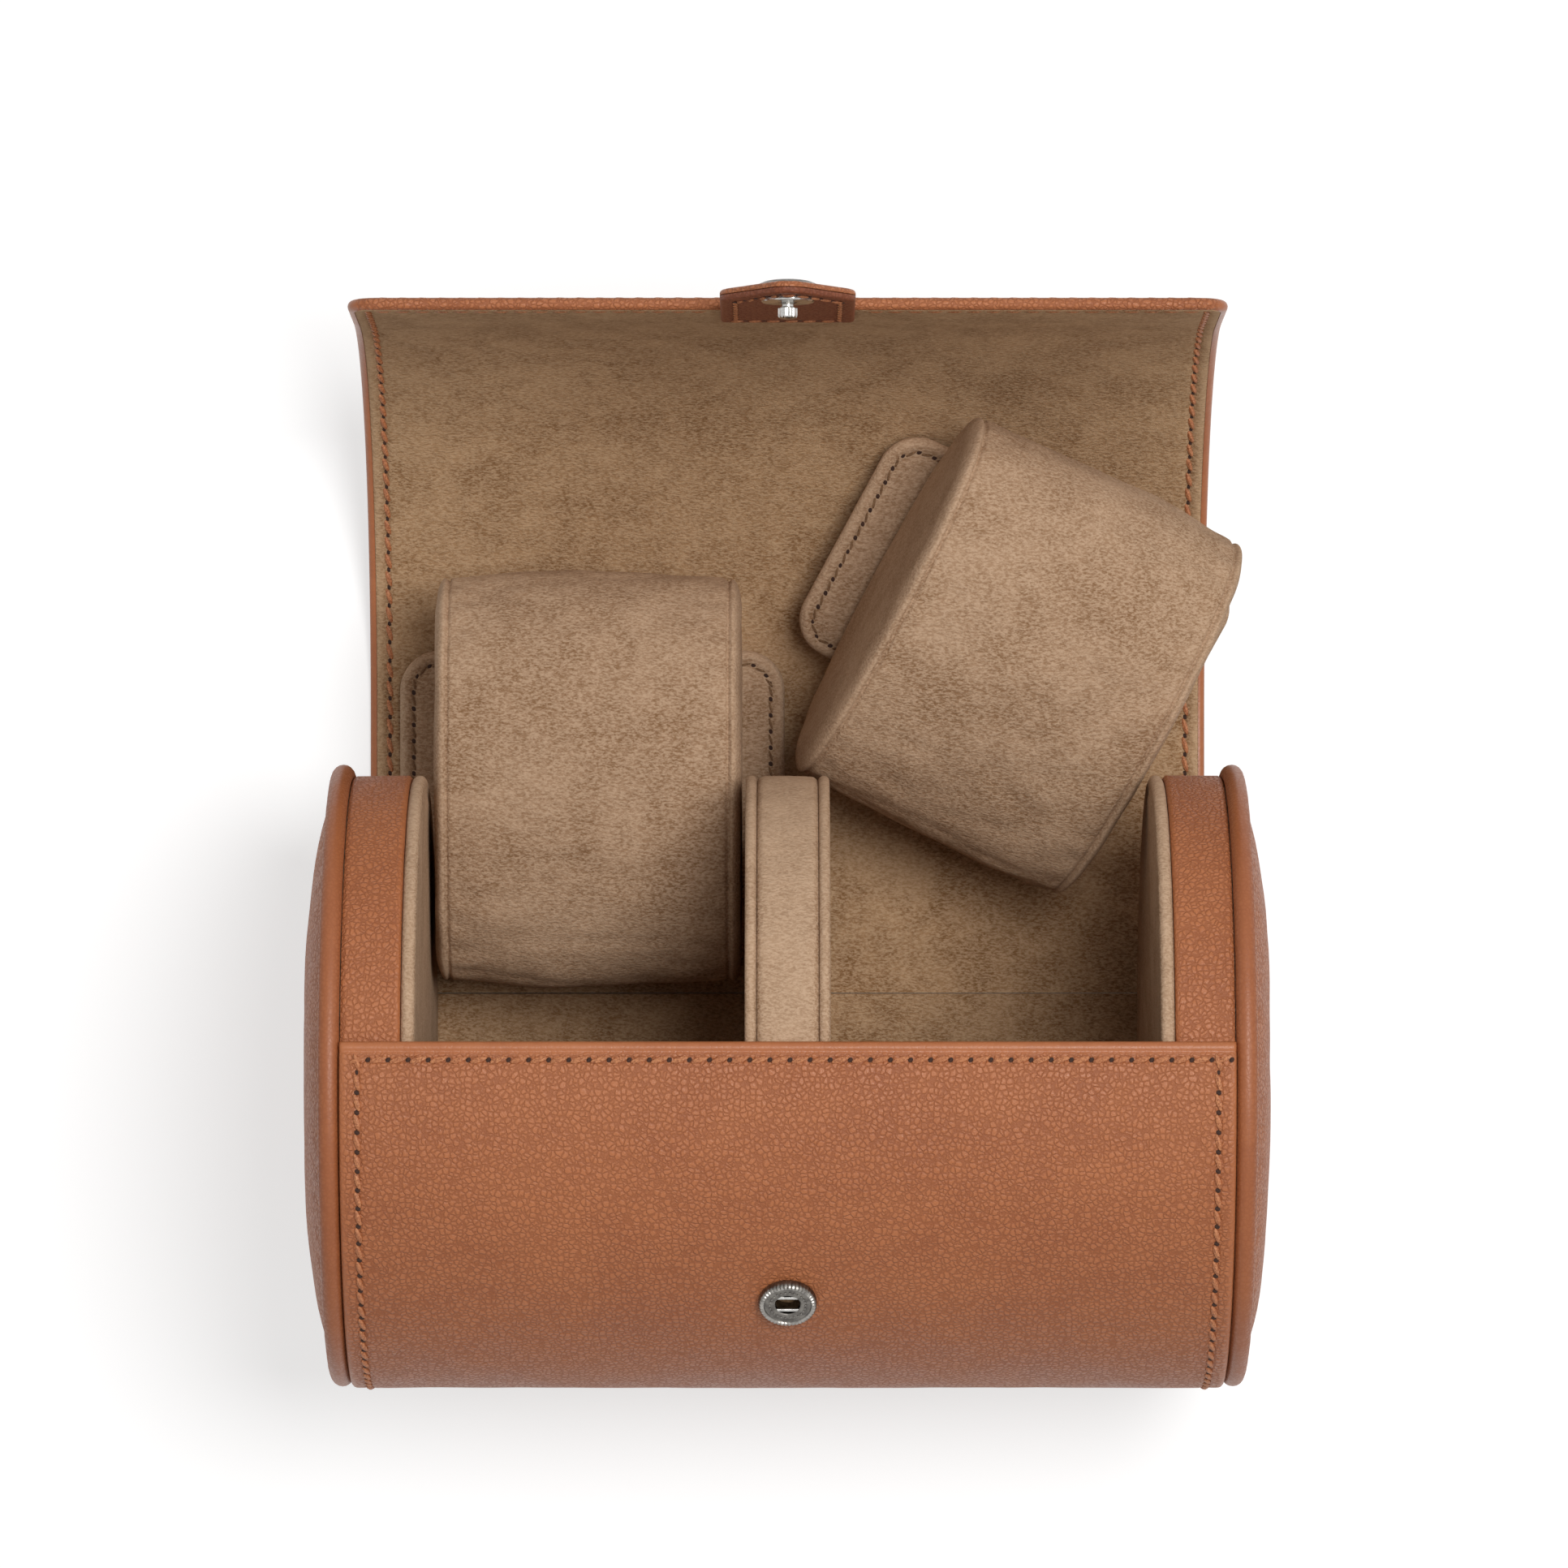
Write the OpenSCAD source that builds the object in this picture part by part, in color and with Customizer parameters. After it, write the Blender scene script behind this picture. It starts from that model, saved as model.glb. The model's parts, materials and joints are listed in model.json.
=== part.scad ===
// Double watch roll: a leather cylinder with two suede compartments, padded round ends,
// a curling flap that closes over the front panel with a snap tab, and two suede cushions.
// X runs along the roll, Y towards the hinge of the flap, Z up. The origin is the middle of
// the flat on which the body stands.

/* [Body] */
// Outside radius of the leather wrap
wrap_r = 52.3; // [50:0.1:56]
// Thickness of the wrap's outer leather
wrap_leather_t = 1.1; // [0.9:0.1:1.5]
// Thickness of the stiffening board inside the wrap
wrap_board_t = 0.5; // [0.4:0.1:0.9]
// Thickness of the suede that lines the wrap
wrap_lining_t = 0.4; // [0.3:0.1:0.8]
// Depth of the flat on which the body stands
base_flat_depth = 0.5; // [0.3:0.1:0.7]
// Place of the front panel's upper edge, in degrees back from the top
panel_edge_angle = 8; // [0:1:14]
// Place of the flap's hinge line, in degrees back from the top
hinge_angle = 165; // [163:0.5:167]

/* [Compartments] */
// Clear width of each compartment
pocket_w = 53.5; // [53.2:0.1:56]
// Thickness of the divider between the compartments
divider_w = 14; // [10:0.5:18]
// Width of the strip between the divider's two rim seams
divider_strip_w = 10.2; // [8:0.1:10.4]
// Thickness of the suede rim strip and of the leather side bands
rim_skin_t = 1.1; // [0.8:0.1:1.6]

/* [Round ends] */
// Thickness of the suede facing on the inner side of each end
facing_t = 2.3; // [1.6:0.1:3]
// Width of the leather side band of each end
side_band_w = 9.8; // [6:0.2:14]
// Radius of the piping cord
piping_r = 1.8; // [1.4:0.1:2.2]
// How far the padded end stands beyond the middle of the piping
end_rise = 5.8; // [4.8:0.1:7]
// Drop of the padded end from its middle to its rim
end_crown = 4.5; // [3.4:0.1:4.6]
// Thickness of the leather on the padded end
end_leather_t = 1.2; // [0.9:0.1:1.6]

/* [Flap] */
// Thickness of the flap's outer leather
flap_leather_t = 1.1; // [0.9:0.1:1.2]
// Thickness of the flap's suede lining
flap_lining_t = 0.9; // [0.7:0.1:1]
// Clearance between the flap's edges and the piping
flap_side_gap = 0.3; // [0.3:0.05:0.8]
// Height by which the closed flap clears the side bands at its hinge
flap_lift = 1.05; // [1:0.05:1.2]
// Gap between neighbouring fold sections, on the lined side
fold_gap = 0.3; // [0.2:0.05:0.4]
// Distance from the roll's axis to the point where the open flap starts to curl
curl_start = 60; // [56:1:66]
// Radius of the open flap's curl, on the lined side
curl_r = 65; // [60:1:72]
// Turn of the open flap's curl in degrees
curl_turn = 86; // [80:1:88]
// Length of the first straight section beyond the curl
rim_section_l = 12; // [10:0.5:15]
// Length of flap beyond that section, up to the free edge
free_edge_l = 12; // [11:0.5:15]
// Radius of the flap's free corners
flap_corner_r = 5; // [3:0.5:8]
// Width of the turned leather edge round the lining
turned_edge_w = 1.1; // [0.8:0.1:2]

/* [Snap tab] */
// Width of the tab
tab_w = 22; // [18:0.5:28]
// Length of the tab beyond the flap's free edge
tab_l = 29.5; // [28:0.5:34]
// Length of the tab that stays stiff with the flap
tab_root_l = 9; // [8:0.5:9.5]
// Length of the tab's backing that is sewn onto the lining
tab_overlap = 10.4; // [6:0.2:10.8]
// Length of the tab's pointed end
tab_point_l = 12; // [8:0.5:14]
// Radius of the rounded corners of the tab's end
tab_corner_r = 3.5; // [2:0.5:4.5]
// Thickness of each of the tab's two layers
tab_layer_t = 1.0; // [0.8:0.1:1.2]
// Distance of the stud from the flap's free edge
stud_reach = 20.6; // [18:0.2:22]

/* [Snap] */
// Place of the snap socket, in degrees forward from the top
socket_angle = 42.6; // [38:0.2:46]
// Radius of the socket's cap
socket_r = 4.75; // [4.2:0.05:5.5]
// Height of the socket's cap above the leather
socket_h = 1.7; // [1.4:0.1:2.2]
// Radius of the socket's bore
socket_bore_r = 2.1; // [1.9:0.05:2.4]
// Wall of the socket's barrel
socket_barrel_wall = 0.4; // [0.3:0.05:0.6]
// Radius of the wire of the socket's spring
spring_wire_r = 0.3; // [0.2:0.05:0.35]
// Radius of the stud's flange
stud_flange_r = 4.3; // [3.6:0.1:4.6]
// Thickness of the stud's flange
stud_flange_t = 0.5; // [0.3:0.05:0.6]
// Radius of the stud's post
stud_post_r = 1.65; // [1.5:0.05:1.75]
// Length of the stud's post
stud_post_l = 2.7; // [2.4:0.1:2.8]
// Radius of the cap on the outside of the tab
stud_cap_r = 5; // [4:0.1:6]

/* [Cushions] */
// Width of a cushion, along the roll
cushion_w = 52.5; // [50:0.1:52.8]
// Length of a cushion
cushion_l = 71.5; // [66:0.5:74]
// Thickness of a cushion
cushion_t = 42; // [36:0.5:44]
// Distance of the side seams from the cushion's sides
cushion_seam = 2.4; // [1.8:0.1:3.6]
// Crown of the cushion's face between its side seams
cushion_crown = 1.2; // [0.6:0.1:2.4]
// Padding between the cushion's face and its firm core
face_padding = 6; // [4:0.5:8]
// Padding between the cushion's rounded ends and its firm core
end_padding = 8; // [7:0.5:11]
// Padding between the cushion's sides and its firm core
side_padding = 7; // [6:0.5:10]
// Width of the base panel, whose wings stand out past the cushion
base_panel_w = 66.5; // [60:0.5:70]
// Length of the base panel
base_panel_l = 43; // [36:0.5:48]
// Thickness of the base panel
base_panel_t = 3; // [2:0.1:4]
// Radius of the base panel's corners
base_panel_corner_r = 7; // [3:0.5:10]
// Distance of the left cushion's middle from the roll's axis
left_cushion_y = 50.5; // [49:0.5:54]
// Pitch of the left cushion in degrees
left_cushion_pitch = 2.2; // [2:0.1:4]
// Place of the right cushion's base along the roll
right_cushion_x = 39; // [38.8:0.1:40]
// Distance of the right cushion's base from the roll's axis
right_cushion_y = 78.5; // [78.4:0.1:80]
// Height of the middle of the right cushion's base
right_cushion_z = 13.2; // [13.2:0.1:15]
// Yaw of the right cushion in degrees
right_cushion_yaw = 27; // [25:1:28]
// Pitch of the right cushion in degrees
right_cushion_pitch = 20; // [19.5:0.1:20.4]

/* [Hidden] */
$fn = 96;

// Colours
tan_leather = [0.67, 0.41, 0.27];
dark_leather = [0.44, 0.25, 0.15];
taupe_suede = [0.60, 0.50, 0.42];
grey_board = [0.55, 0.52, 0.48];
pale_foam = [0.86, 0.83, 0.76];
dark_nickel = [0.36, 0.35, 0.34];
bright_steel = [0.78, 0.78, 0.77];

// Body: radii of the layers, and the height of the roll's axis
wrap_t = wrap_leather_t + wrap_board_t + wrap_lining_t;
cavity_r = wrap_r - wrap_t;
leather_in_r = wrap_r - wrap_leather_t;
board_in_r = leather_in_r - wrap_board_t;
axis_z = wrap_r - base_flat_depth;
layer_gap = 0.05;
disc_r = cavity_r - layer_gap;
past = 1;

// Body: stations along the roll, each a distance from its middle
divider_half = divider_w / 2;
facing_x = divider_half + pocket_w;
band_x = facing_x + facing_t;
wrap_half = band_x + side_band_w;
piping_x = wrap_half + piping_r;
end_apex_x = piping_x + end_rise;

// Front panel's rolled lip and the end of the wrap at the hinge
lip_r = wrap_t / 2;
lip_mid_r = wrap_r - lip_r;
lip_angle = panel_edge_angle - asin(lip_r / lip_mid_r);
lining_start_angle = lip_angle - asin(lip_r / lip_mid_r);
hinge_end_gap_angle = 0.7;
wrap_end_angle = hinge_angle + hinge_end_gap_angle - 360;

// Padded end: its dome starts just inside the piping
end_dome_r = cavity_r - piping_r;
end_dome_power = 4.4;
end_dome_steps = 14;
end_core_rim_r = cavity_r - piping_r - 2 * layer_gap;
end_core_band_r = disc_r - rim_skin_t - layer_gap;

// Divider: two padded faces whose rims puff out beside the strip
strip_half = divider_strip_w / 2;
welt_r = (divider_half - strip_half) / 2;
welt_x = divider_half - welt_r;
welt_mid_r = disc_r - welt_r;

// Flap: its layers, width and fold sections
flap_t = flap_leather_t + flap_lining_t;
flap_half = wrap_half - flap_side_gap;
hinge_r = cavity_r + flap_lift;
flat_sections = 3;
curl_sections = 4;
curl_step = curl_turn / curl_sections;
rim_section = flat_sections + curl_sections + 1;
edge_section = rim_section + 1;
edge_section_l = free_edge_l + tab_root_l;
hinge_line = [hinge_r * sin(hinge_angle), axis_z + hinge_r * cos(hinge_angle)];
curl_mid = [curl_start, flap_t + curl_r];

// Tab and snap
tab_half = tab_w / 2;
tab_tip_l = tab_l - tab_root_l;
tab_tip_stud = stud_reach - tab_root_l;
tab_inside = 2 * tab_layer_t;
washer_t = 0.28;
washer_r = 4;
washer_hole_gap = 0.1;
barrel_r = socket_bore_r + socket_barrel_wall;
socket_groove_r = 3.2;
socket_groove_h = 0.9;
socket_rim_w = 0.9;
socket_rim_h = 0.35;
spring_half_gap = 1.4;
spring_reach = 2.6;
spring_z = 0.85;
stud_neck_r = 1;
stud_neck_from = 0.9;
stud_neck_to = 2;
stud_shoulder_h = 0.3;
stud_tip_bevel = 0.4;
stud_rivet_r = 1.2;
stud_cap_t = 1.2;
rivet_hole_gap = 0.05;

// Cushions: the pad rests on its base panel, and the base panel on the flap's lining
pad_gap = 0.2;
seat_gap = 0.3;
pad_lift = base_panel_t + pad_gap + cushion_t / 2;
pocket_mid_x = divider_half + pocket_w / 2;
pad_power = 2.2;
pad_round = 4;
pad_ring = 28;
pad_face_steps = 4;
pad_side_steps = 3;
core_crown = 0.5;
left_cushion_z = flap_t + seat_gap + base_panel_l / 2 * tan(left_cushion_pitch);

// Placing helpers

// Turns a profile of [radius, place along the roll] about the roll's axis,
// from one angle back from the top down to a lower one.
module round_the_roll(from_angle = 360, to_angle = 0) {
    translate([0, 0, axis_z])
        rotate([0, 90, 0])
            rotate([0, 0, 180 - from_angle])
                rotate_extrude(angle = from_angle - to_angle)
                    children();
}

// Stands a piece on the wrap's outer surface at an angle back from the top, +Z outwards.
module on_the_wrap(angle) {
    translate([0, 0, axis_z])
        rotate([-angle, 0, 0])
            translate([0, 0, wrap_r])
                children();
}

// Takes off what lies below the plane on which the roll stands.
module flat_underneath() {
    difference() {
        children();
        translate([0, 0, -wrap_r / 2])
            cube([4 * wrap_half, wrap_r, wrap_r], center = true);
    }
}

// Repeats a piece on the left or the right: side is -1 or 1.
module to_side(side) {
    if (side < 0)
        mirror([1, 0, 0])
            children();
    else
        children();
}

// A convex outline with round corners: the points are the middles of its corner circles.
module rounded_outline(points, r) {
    count = len(points);
    edges = [for (i = [0 : count - 1])
        let (a = points[i], b = points[(i + 1) % count], d = (b - a) / norm(b - a), n = [d[1], -d[0]])
            each [a + r * n, b + r * n]];
    polygon(edges);
    for (p = points)
        translate(p)
            circle(r);
}

// Wrap

// One layer of the wrap between two radii.
module wrap_layer(inner_r, outer_r, start_angle) {
    round_the_roll(start_angle, wrap_end_angle)
        translate([inner_r, -wrap_half])
            square([outer_r - inner_r, 2 * wrap_half]);
}

module wrap_leather() {
    color(tan_leather)
        flat_underneath()
            difference() {
                union() {
                    wrap_layer(leather_in_r, wrap_r, lip_angle);
                    on_the_wrap(lip_angle)
                        translate([0, 0, -lip_r])
                            rotate([0, 90, 0])
                                cylinder(r = lip_r, h = 2 * wrap_half, center = true);
                }
                on_the_wrap(-socket_angle)
                    cylinder(r = barrel_r + layer_gap, h = 4 * wrap_t, center = true);
            }
}

module wrap_board() {
    color(grey_board)
        difference() {
            wrap_layer(board_in_r, leather_in_r, lining_start_angle);
            on_the_wrap(-socket_angle)
                cylinder(r = washer_r + washer_hole_gap, h = 4 * wrap_t, center = true);
        }
}

module wrap_lining() {
    color(taupe_suede)
        wrap_layer(cavity_r, board_in_r, lining_start_angle);
}

// Round ends

// Place along the roll of the padded end's outer face at a radius.
function dome_x(r) = end_apex_x - end_crown * pow(r / end_dome_r, end_dome_power);

// Points of the padded end's face from its middle out to its rim, moved inwards by a depth.
function dome_points(depth, rim_r) = [for (i = [0 : end_dome_steps])
    let (r = rim_r * sin(90 * i / end_dome_steps)) [r, dome_x(r) - depth]];

function reversed(points) = [for (i = [len(points) - 1 : -1 : 0]) points[i]];

module end_face(side) {
    color(tan_leather)
        to_side(side)
            round_the_roll()
                polygon(concat(dome_points(0, end_dome_r), reversed(dome_points(end_leather_t, end_dome_r))));
}

module end_core(side) {
    under_face = end_leather_t + layer_gap;
    color(pale_foam)
        to_side(side)
            round_the_roll()
                polygon(concat(
                    [[0, band_x + layer_gap], [end_core_band_r, band_x + layer_gap],
                     [end_core_band_r, wrap_half - layer_gap], [end_core_rim_r, wrap_half - layer_gap]],
                    reversed(dome_points(under_face, end_core_rim_r))));
}

module piping(side) {
    color(tan_leather)
        to_side(side)
            flat_underneath()
                round_the_roll()
                    translate([cavity_r, piping_x])
                        circle(piping_r);
}

module side_band(side) {
    color(tan_leather)
        to_side(side)
            round_the_roll()
                translate([disc_r - rim_skin_t, band_x + layer_gap])
                    square([rim_skin_t, side_band_w - 2 * layer_gap]);
}

module end_facing(side) {
    roll_r = facing_t / 2;
    color(taupe_suede)
        to_side(side)
            round_the_roll() {
                translate([0, facing_x])
                    square([disc_r - roll_r, facing_t]);
                translate([disc_r - roll_r, facing_x + roll_r])
                    intersection() {
                        circle(roll_r);
                        translate([0, -roll_r])
                            square([roll_r, facing_t]);
                    }
            }
}

// Divider

module divider_core() {
    color(pale_foam)
        round_the_roll()
            translate([0, -strip_half + layer_gap])
                square([disc_r - rim_skin_t - layer_gap, divider_strip_w - 2 * layer_gap]);
}

module divider_strip() {
    color(taupe_suede)
        round_the_roll()
            translate([disc_r - rim_skin_t, -strip_half + layer_gap])
                square([rim_skin_t, divider_strip_w - 2 * layer_gap]);
}

module divider_face(side) {
    color(taupe_suede)
        to_side(side)
            round_the_roll() {
                translate([0, strip_half])
                    square([welt_mid_r, 2 * welt_r]);
                translate([welt_mid_r, welt_x])
                    intersection() {
                        circle(welt_r);
                        translate([0, -welt_r])
                            square(2 * welt_r);
                    }
            }
}

// Snap socket on the front panel

module snap_socket() {
    barrel_depth = wrap_leather_t + wrap_board_t - layer_gap;
    floor_t = 0.25;
    color(dark_nickel)
        on_the_wrap(-socket_angle)
            translate([0, 0, layer_gap])
                difference() {
                    union() {
                        cylinder(r = socket_r, h = socket_h - socket_rim_h);
                        translate([0, 0, -barrel_depth])
                            cylinder(r = barrel_r, h = barrel_depth + socket_h);
                        rotate_extrude()
                            translate([socket_r - socket_rim_w, 0])
                                square([socket_rim_w, socket_h - socket_rim_h / 2]);
                    }
                    translate([0, 0, floor_t - barrel_depth])
                        cylinder(r = socket_bore_r, h = barrel_depth + socket_h + past);
                    translate([0, 0, spring_z - socket_groove_h / 2])
                        cylinder(r = socket_groove_r, h = socket_groove_h);
                }
}

module snap_spring() {
    bend_angle = asin(spring_half_gap / spring_reach);
    rod_l = 2 * spring_reach * cos(bend_angle);
    color(bright_steel)
        on_the_wrap(-socket_angle)
            translate([0, 0, layer_gap + spring_z]) {
                for (side = [-1, 1])
                    translate([0, side * spring_half_gap, 0])
                        rotate([0, 90, 0])
                            cylinder(r = spring_wire_r, h = rod_l, center = true);
                rotate([0, 0, -bend_angle])
                    rotate_extrude(angle = 2 * bend_angle)
                        translate([spring_reach, 0])
                            circle(spring_wire_r);
            }
}

module socket_washer() {
    washer_z = layer_gap - wrap_leather_t - wrap_board_t;
    color(dark_nickel)
        on_the_wrap(-socket_angle)
            translate([0, 0, washer_z])
                rotate_extrude()
                    translate([barrel_r + layer_gap, 0])
                        square([washer_r - barrel_r - layer_gap, washer_t]);
}

// Flap

// Hinge line k of the flap, as [Y, Z] on the lined side: 0 is the crease beside the body.
function fold_line(k) =
    k == 0 ? hinge_line :
    k <= flat_sections ? [hinge_line[0] + (curl_start - hinge_line[0]) * k / flat_sections, flap_t] :
    k < rim_section ? curl_mid + curl_r * [sin(curl_angle(k)), -cos(curl_angle(k))] :
    k == rim_section ? fold_line(k - 1) + rim_section_l * [cos(curl_turn), sin(curl_turn)] :
    fold_line(k - 1) + edge_section_l * [cos(curl_turn), sin(curl_turn)]
        + tab_layer_t * [-sin(curl_turn), cos(curl_turn)];

// Turn of the curl at fold line k.
function curl_angle(k) = (k - flat_sections) * curl_step;

// Direction of a straight section: degrees up from level.
function section_heading(k) =
    let (d = fold_line(k) - fold_line(k - 1))
        k >= rim_section ? curl_turn : atan2(d[1], d[0]);

function section_length(k) = k == edge_section ? edge_section_l : norm(fold_line(k) - fold_line(k - 1));

// Puts a piece on straight section k: X along the roll, Y towards the free edge, Z off the lined side.
module on_section(k) {
    place = fold_line(k - 1);
    translate([0, place[0], place[1]])
        rotate([section_heading(k), 0, 0])
            children();
}

// A slab of straight section k, between two depths below the lined side.
module straight_slab(k, half_w, top, bottom) {
    on_section(k)
        translate([-half_w, fold_gap / 2, -bottom])
            cube([2 * half_w, section_length(k) - fold_gap, bottom - top]);
}

// A slab of curled section k, between two depths below the lined side.
module curled_slab(k, half_w, top, bottom) {
    end_gap = asin(fold_gap / 2 / curl_r);
    low = curl_angle(k - 1) + end_gap;
    high = curl_angle(k) - end_gap;
    reach = 2 * curl_r;
    rotate([90, 0, 90])
        linear_extrude(height = 2 * half_w, center = true)
            translate(curl_mid)
                intersection() {
                    difference() {
                        circle(curl_r + bottom);
                        circle(curl_r + top);
                    }
                    polygon([[0, 0], reach * [sin(low), -cos(low)], reach * [sin(high), -cos(high)]]);
                }
}

// The flap's outline near its free edge, with round corners.
module free_edge_outline(half_w, from, to, corner_r) {
    rounded_outline([
        [-half_w + corner_r, from + corner_r], [half_w - corner_r, from + corner_r],
        [half_w - corner_r, to - corner_r], [-half_w + corner_r, to - corner_r]], corner_r);
    translate([-half_w, from])
        square([2 * half_w, corner_r]);
}

// A slab of the last section, up to the flap's free edge.
module edge_slab(half_w, edge, corner_r, top, bottom) {
    on_section(edge_section)
        translate([0, 0, -bottom])
            linear_extrude(height = bottom - top)
                free_edge_outline(half_w, fold_gap / 2, edge, corner_r);
}

module flap_layer(k, half_w, edge, corner_r, top, bottom) {
    if (k == edge_section)
        edge_slab(half_w, edge, corner_r, top, bottom);
    else if (k > flat_sections && k < rim_section)
        curled_slab(k, half_w, top, bottom);
    else
        straight_slab(k, half_w, top, bottom);
}

// The suede lining, set in from the turned leather edge.
module flap_lining(k) {
    color(taupe_suede)
        flap_layer(k, flap_half - turned_edge_w, free_edge_l - turned_edge_w,
            flap_corner_r - turned_edge_w, 0, flap_lining_t);
}

// The outer leather, turned up round the lining's edge.
module flap_leather(k) {
    color(tan_leather)
        difference() {
            flap_layer(k, flap_half, free_edge_l, flap_corner_r, 0, flap_t);
            flap_lining_pocket(k);
        }
}

// The space that the lining fills, open towards the lined side and the fold lines.
module flap_lining_pocket(k) {
    half_w = flap_half - turned_edge_w;
    edge = free_edge_l - turned_edge_w;
    corner_r = flap_corner_r - turned_edge_w;
    if (k == edge_section)
        on_section(k)
            translate([0, 0, -flap_lining_t])
                linear_extrude(height = flap_t)
                    free_edge_outline(half_w, -fold_gap, edge, corner_r);
    else if (k > flat_sections && k < rim_section)
        rotate([90, 0, 90])
            linear_extrude(height = 2 * half_w, center = true)
                translate(curl_mid)
                    circle(curl_r + flap_lining_t);
    else
        on_section(k)
            translate([-half_w, -fold_gap, -flap_lining_t])
                cube([2 * half_w, section_length(k) + 2 * fold_gap, flap_t]);
}

// Snap tab

// The tab's root, sewn to the flap's edge: the outer layer butts on the edge,
// the backing laps onto the lining.
module tab_root_leather() {
    color(tan_leather)
        on_section(edge_section)
            translate([-tab_half, free_edge_l, -tab_layer_t])
                cube([tab_w, tab_root_l - fold_gap / 2, tab_layer_t]);
}

module tab_root_backing() {
    color(dark_leather)
        on_section(edge_section)
            translate([-tab_half, free_edge_l - tab_overlap, 0])
                cube([tab_w, tab_overlap + tab_root_l - fold_gap / 2, tab_layer_t]);
}

// Puts a piece on the tab's tip: Z = 0 is the tab's inner face.
module on_tab() {
    place = fold_line(edge_section);
    translate([0, place[0], place[1]])
        rotate([curl_turn, 0, 0])
            children();
}

module tab_outline() {
    shoulder = tab_tip_l - tab_point_l;
    rounded_outline([
        [-tab_half + tab_corner_r, shoulder], [tab_half - tab_corner_r, shoulder],
        [0, tab_tip_l - tab_corner_r]], tab_corner_r);
    translate([-tab_half, fold_gap / 2])
        square([tab_w, shoulder - fold_gap / 2]);
}

// One layer of the tab's tip, pierced for the stud's rivet.
module tab_layer(depth) {
    on_tab()
        translate([0, 0, -depth - tab_layer_t])
            linear_extrude(height = tab_layer_t)
                difference() {
                    tab_outline();
                    translate([0, tab_tip_stud])
                        circle(stud_rivet_r + rivet_hole_gap);
                }
}

module tab_leather() {
    color(tan_leather)
        tab_layer(tab_layer_t);
}

module tab_backing() {
    color(dark_leather)
        tab_layer(0);
}

// Stud: a flange on the backing, a post with a neck for the spring, and a rivet through the tab.
module snap_stud() {
    color(bright_steel)
        on_tab()
            translate([0, tab_tip_stud, 0])
                rotate_extrude()
                    polygon([
                        [0, -tab_inside], [stud_rivet_r, -tab_inside], [stud_rivet_r, 0],
                        [stud_flange_r, 0], [stud_flange_r, stud_flange_t],
                        [stud_post_r, stud_flange_t], [stud_post_r, stud_flange_t + stud_neck_from],
                        [stud_neck_r, stud_flange_t + stud_neck_from + stud_post_r - stud_neck_r],
                        [stud_neck_r, stud_flange_t + stud_neck_to],
                        [stud_post_r, stud_flange_t + stud_neck_to + stud_shoulder_h],
                        [stud_post_r - stud_tip_bevel, stud_flange_t + stud_post_l],
                        [0, stud_flange_t + stud_post_l]]);
}

// Domed cap over the rivet on the tab's outer side.
module stud_cap() {
    ball_r = (stud_cap_r * stud_cap_r + stud_cap_t * stud_cap_t) / (2 * stud_cap_t);
    color(dark_nickel)
        on_tab()
            translate([0, tab_tip_stud, -tab_inside])
                intersection() {
                    translate([0, 0, ball_r - stud_cap_t])
                        sphere(ball_r);
                    translate([0, 0, -stud_cap_t])
                        cylinder(r = stud_cap_r, h = stud_cap_t);
                }
}

// Cushions

// Half sizes of a pad and of its core, and the part of the half width where the side seams run.
pad_half = [cushion_w / 2, cushion_l / 2, cushion_t / 2];
core_half = pad_half - [side_padding, end_padding, face_padding];
seam_share = 1 - cushion_seam / pad_half[0];

// Places of rings across a pad, as shares of its half width: evenly over the face,
// and closer together from a side seam outwards.
function face_shares(steps) = [for (i = [-steps : steps]) seam_share * i / steps];
function side_shares() = [for (i = [0 : pad_side_steps])
    seam_share + (1 - seam_share) * sin(90 * i / pad_side_steps)];

// How far a ring is drawn in from the pad's full outline.
function ring_inset(share, crown) =
    let (q = abs(share), t = max(0, (q - seam_share) / (1 - seam_share)))
        crown * min(1, pow(q / seam_share, 2)) + pad_round * (1 - sqrt(max(0, 1 - t * t)));

// A signed power, for the oval's superellipse.
function signed_pow(v, p) = sign(v) * pow(abs(v), p);

// One ring of a pad: an oval about the line across the cushion.
function pad_ring_points(x, b, c) = [for (j = [0 : pad_ring - 1])
    let (a = 360 * j / pad_ring)
        [x, b * signed_pow(cos(a), 2 / pad_power), c * signed_pow(sin(a), 2 / pad_power)]];

// A crowned pad lofted through rings from its left to its right, about its own middle.
module pad_loft(half, crown, shares) {
    rings = len(shares);
    points = [for (s = shares)
        let (inset = ring_inset(s, crown))
            each pad_ring_points(s * half[0], half[1] - inset, half[2] - inset)];
    middles = [[shares[0] * half[0], 0, 0], [shares[rings - 1] * half[0], 0, 0]];
    first_middle = rings * pad_ring;
    walls = [for (i = [0 : rings - 2]) for (j = [0 : pad_ring - 1])
        let (k = (j + 1) % pad_ring, a = i * pad_ring, b = a + pad_ring)
            each [[a + j, b + j, b + k], [a + j, b + k, a + k]]];
    ends = [for (j = [0 : pad_ring - 1])
        let (k = (j + 1) % pad_ring, b = (rings - 1) * pad_ring)
            each [[first_middle, j, k], [first_middle + 1, b + k, b + j]]];
    polyhedron(concat(points, middles), concat(walls, ends));
}

module core_solid() {
    pad_loft(core_half, core_crown,
        concat(reversed(-1 * side_shares()), [0], side_shares()));
}

// Puts a piece on a cushion's base: the origin is the middle of the base panel's underside.
module on_cushion(side) {
    if (side < 0)
        translate([-pocket_mid_x, left_cushion_y, left_cushion_z])
            rotate([left_cushion_pitch, 0, 0])
                children();
    else
        translate([right_cushion_x, right_cushion_y, right_cushion_z])
            rotate([right_cushion_pitch, 0, 0])
                rotate([0, 0, -right_cushion_yaw])
                    children();
}

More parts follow.
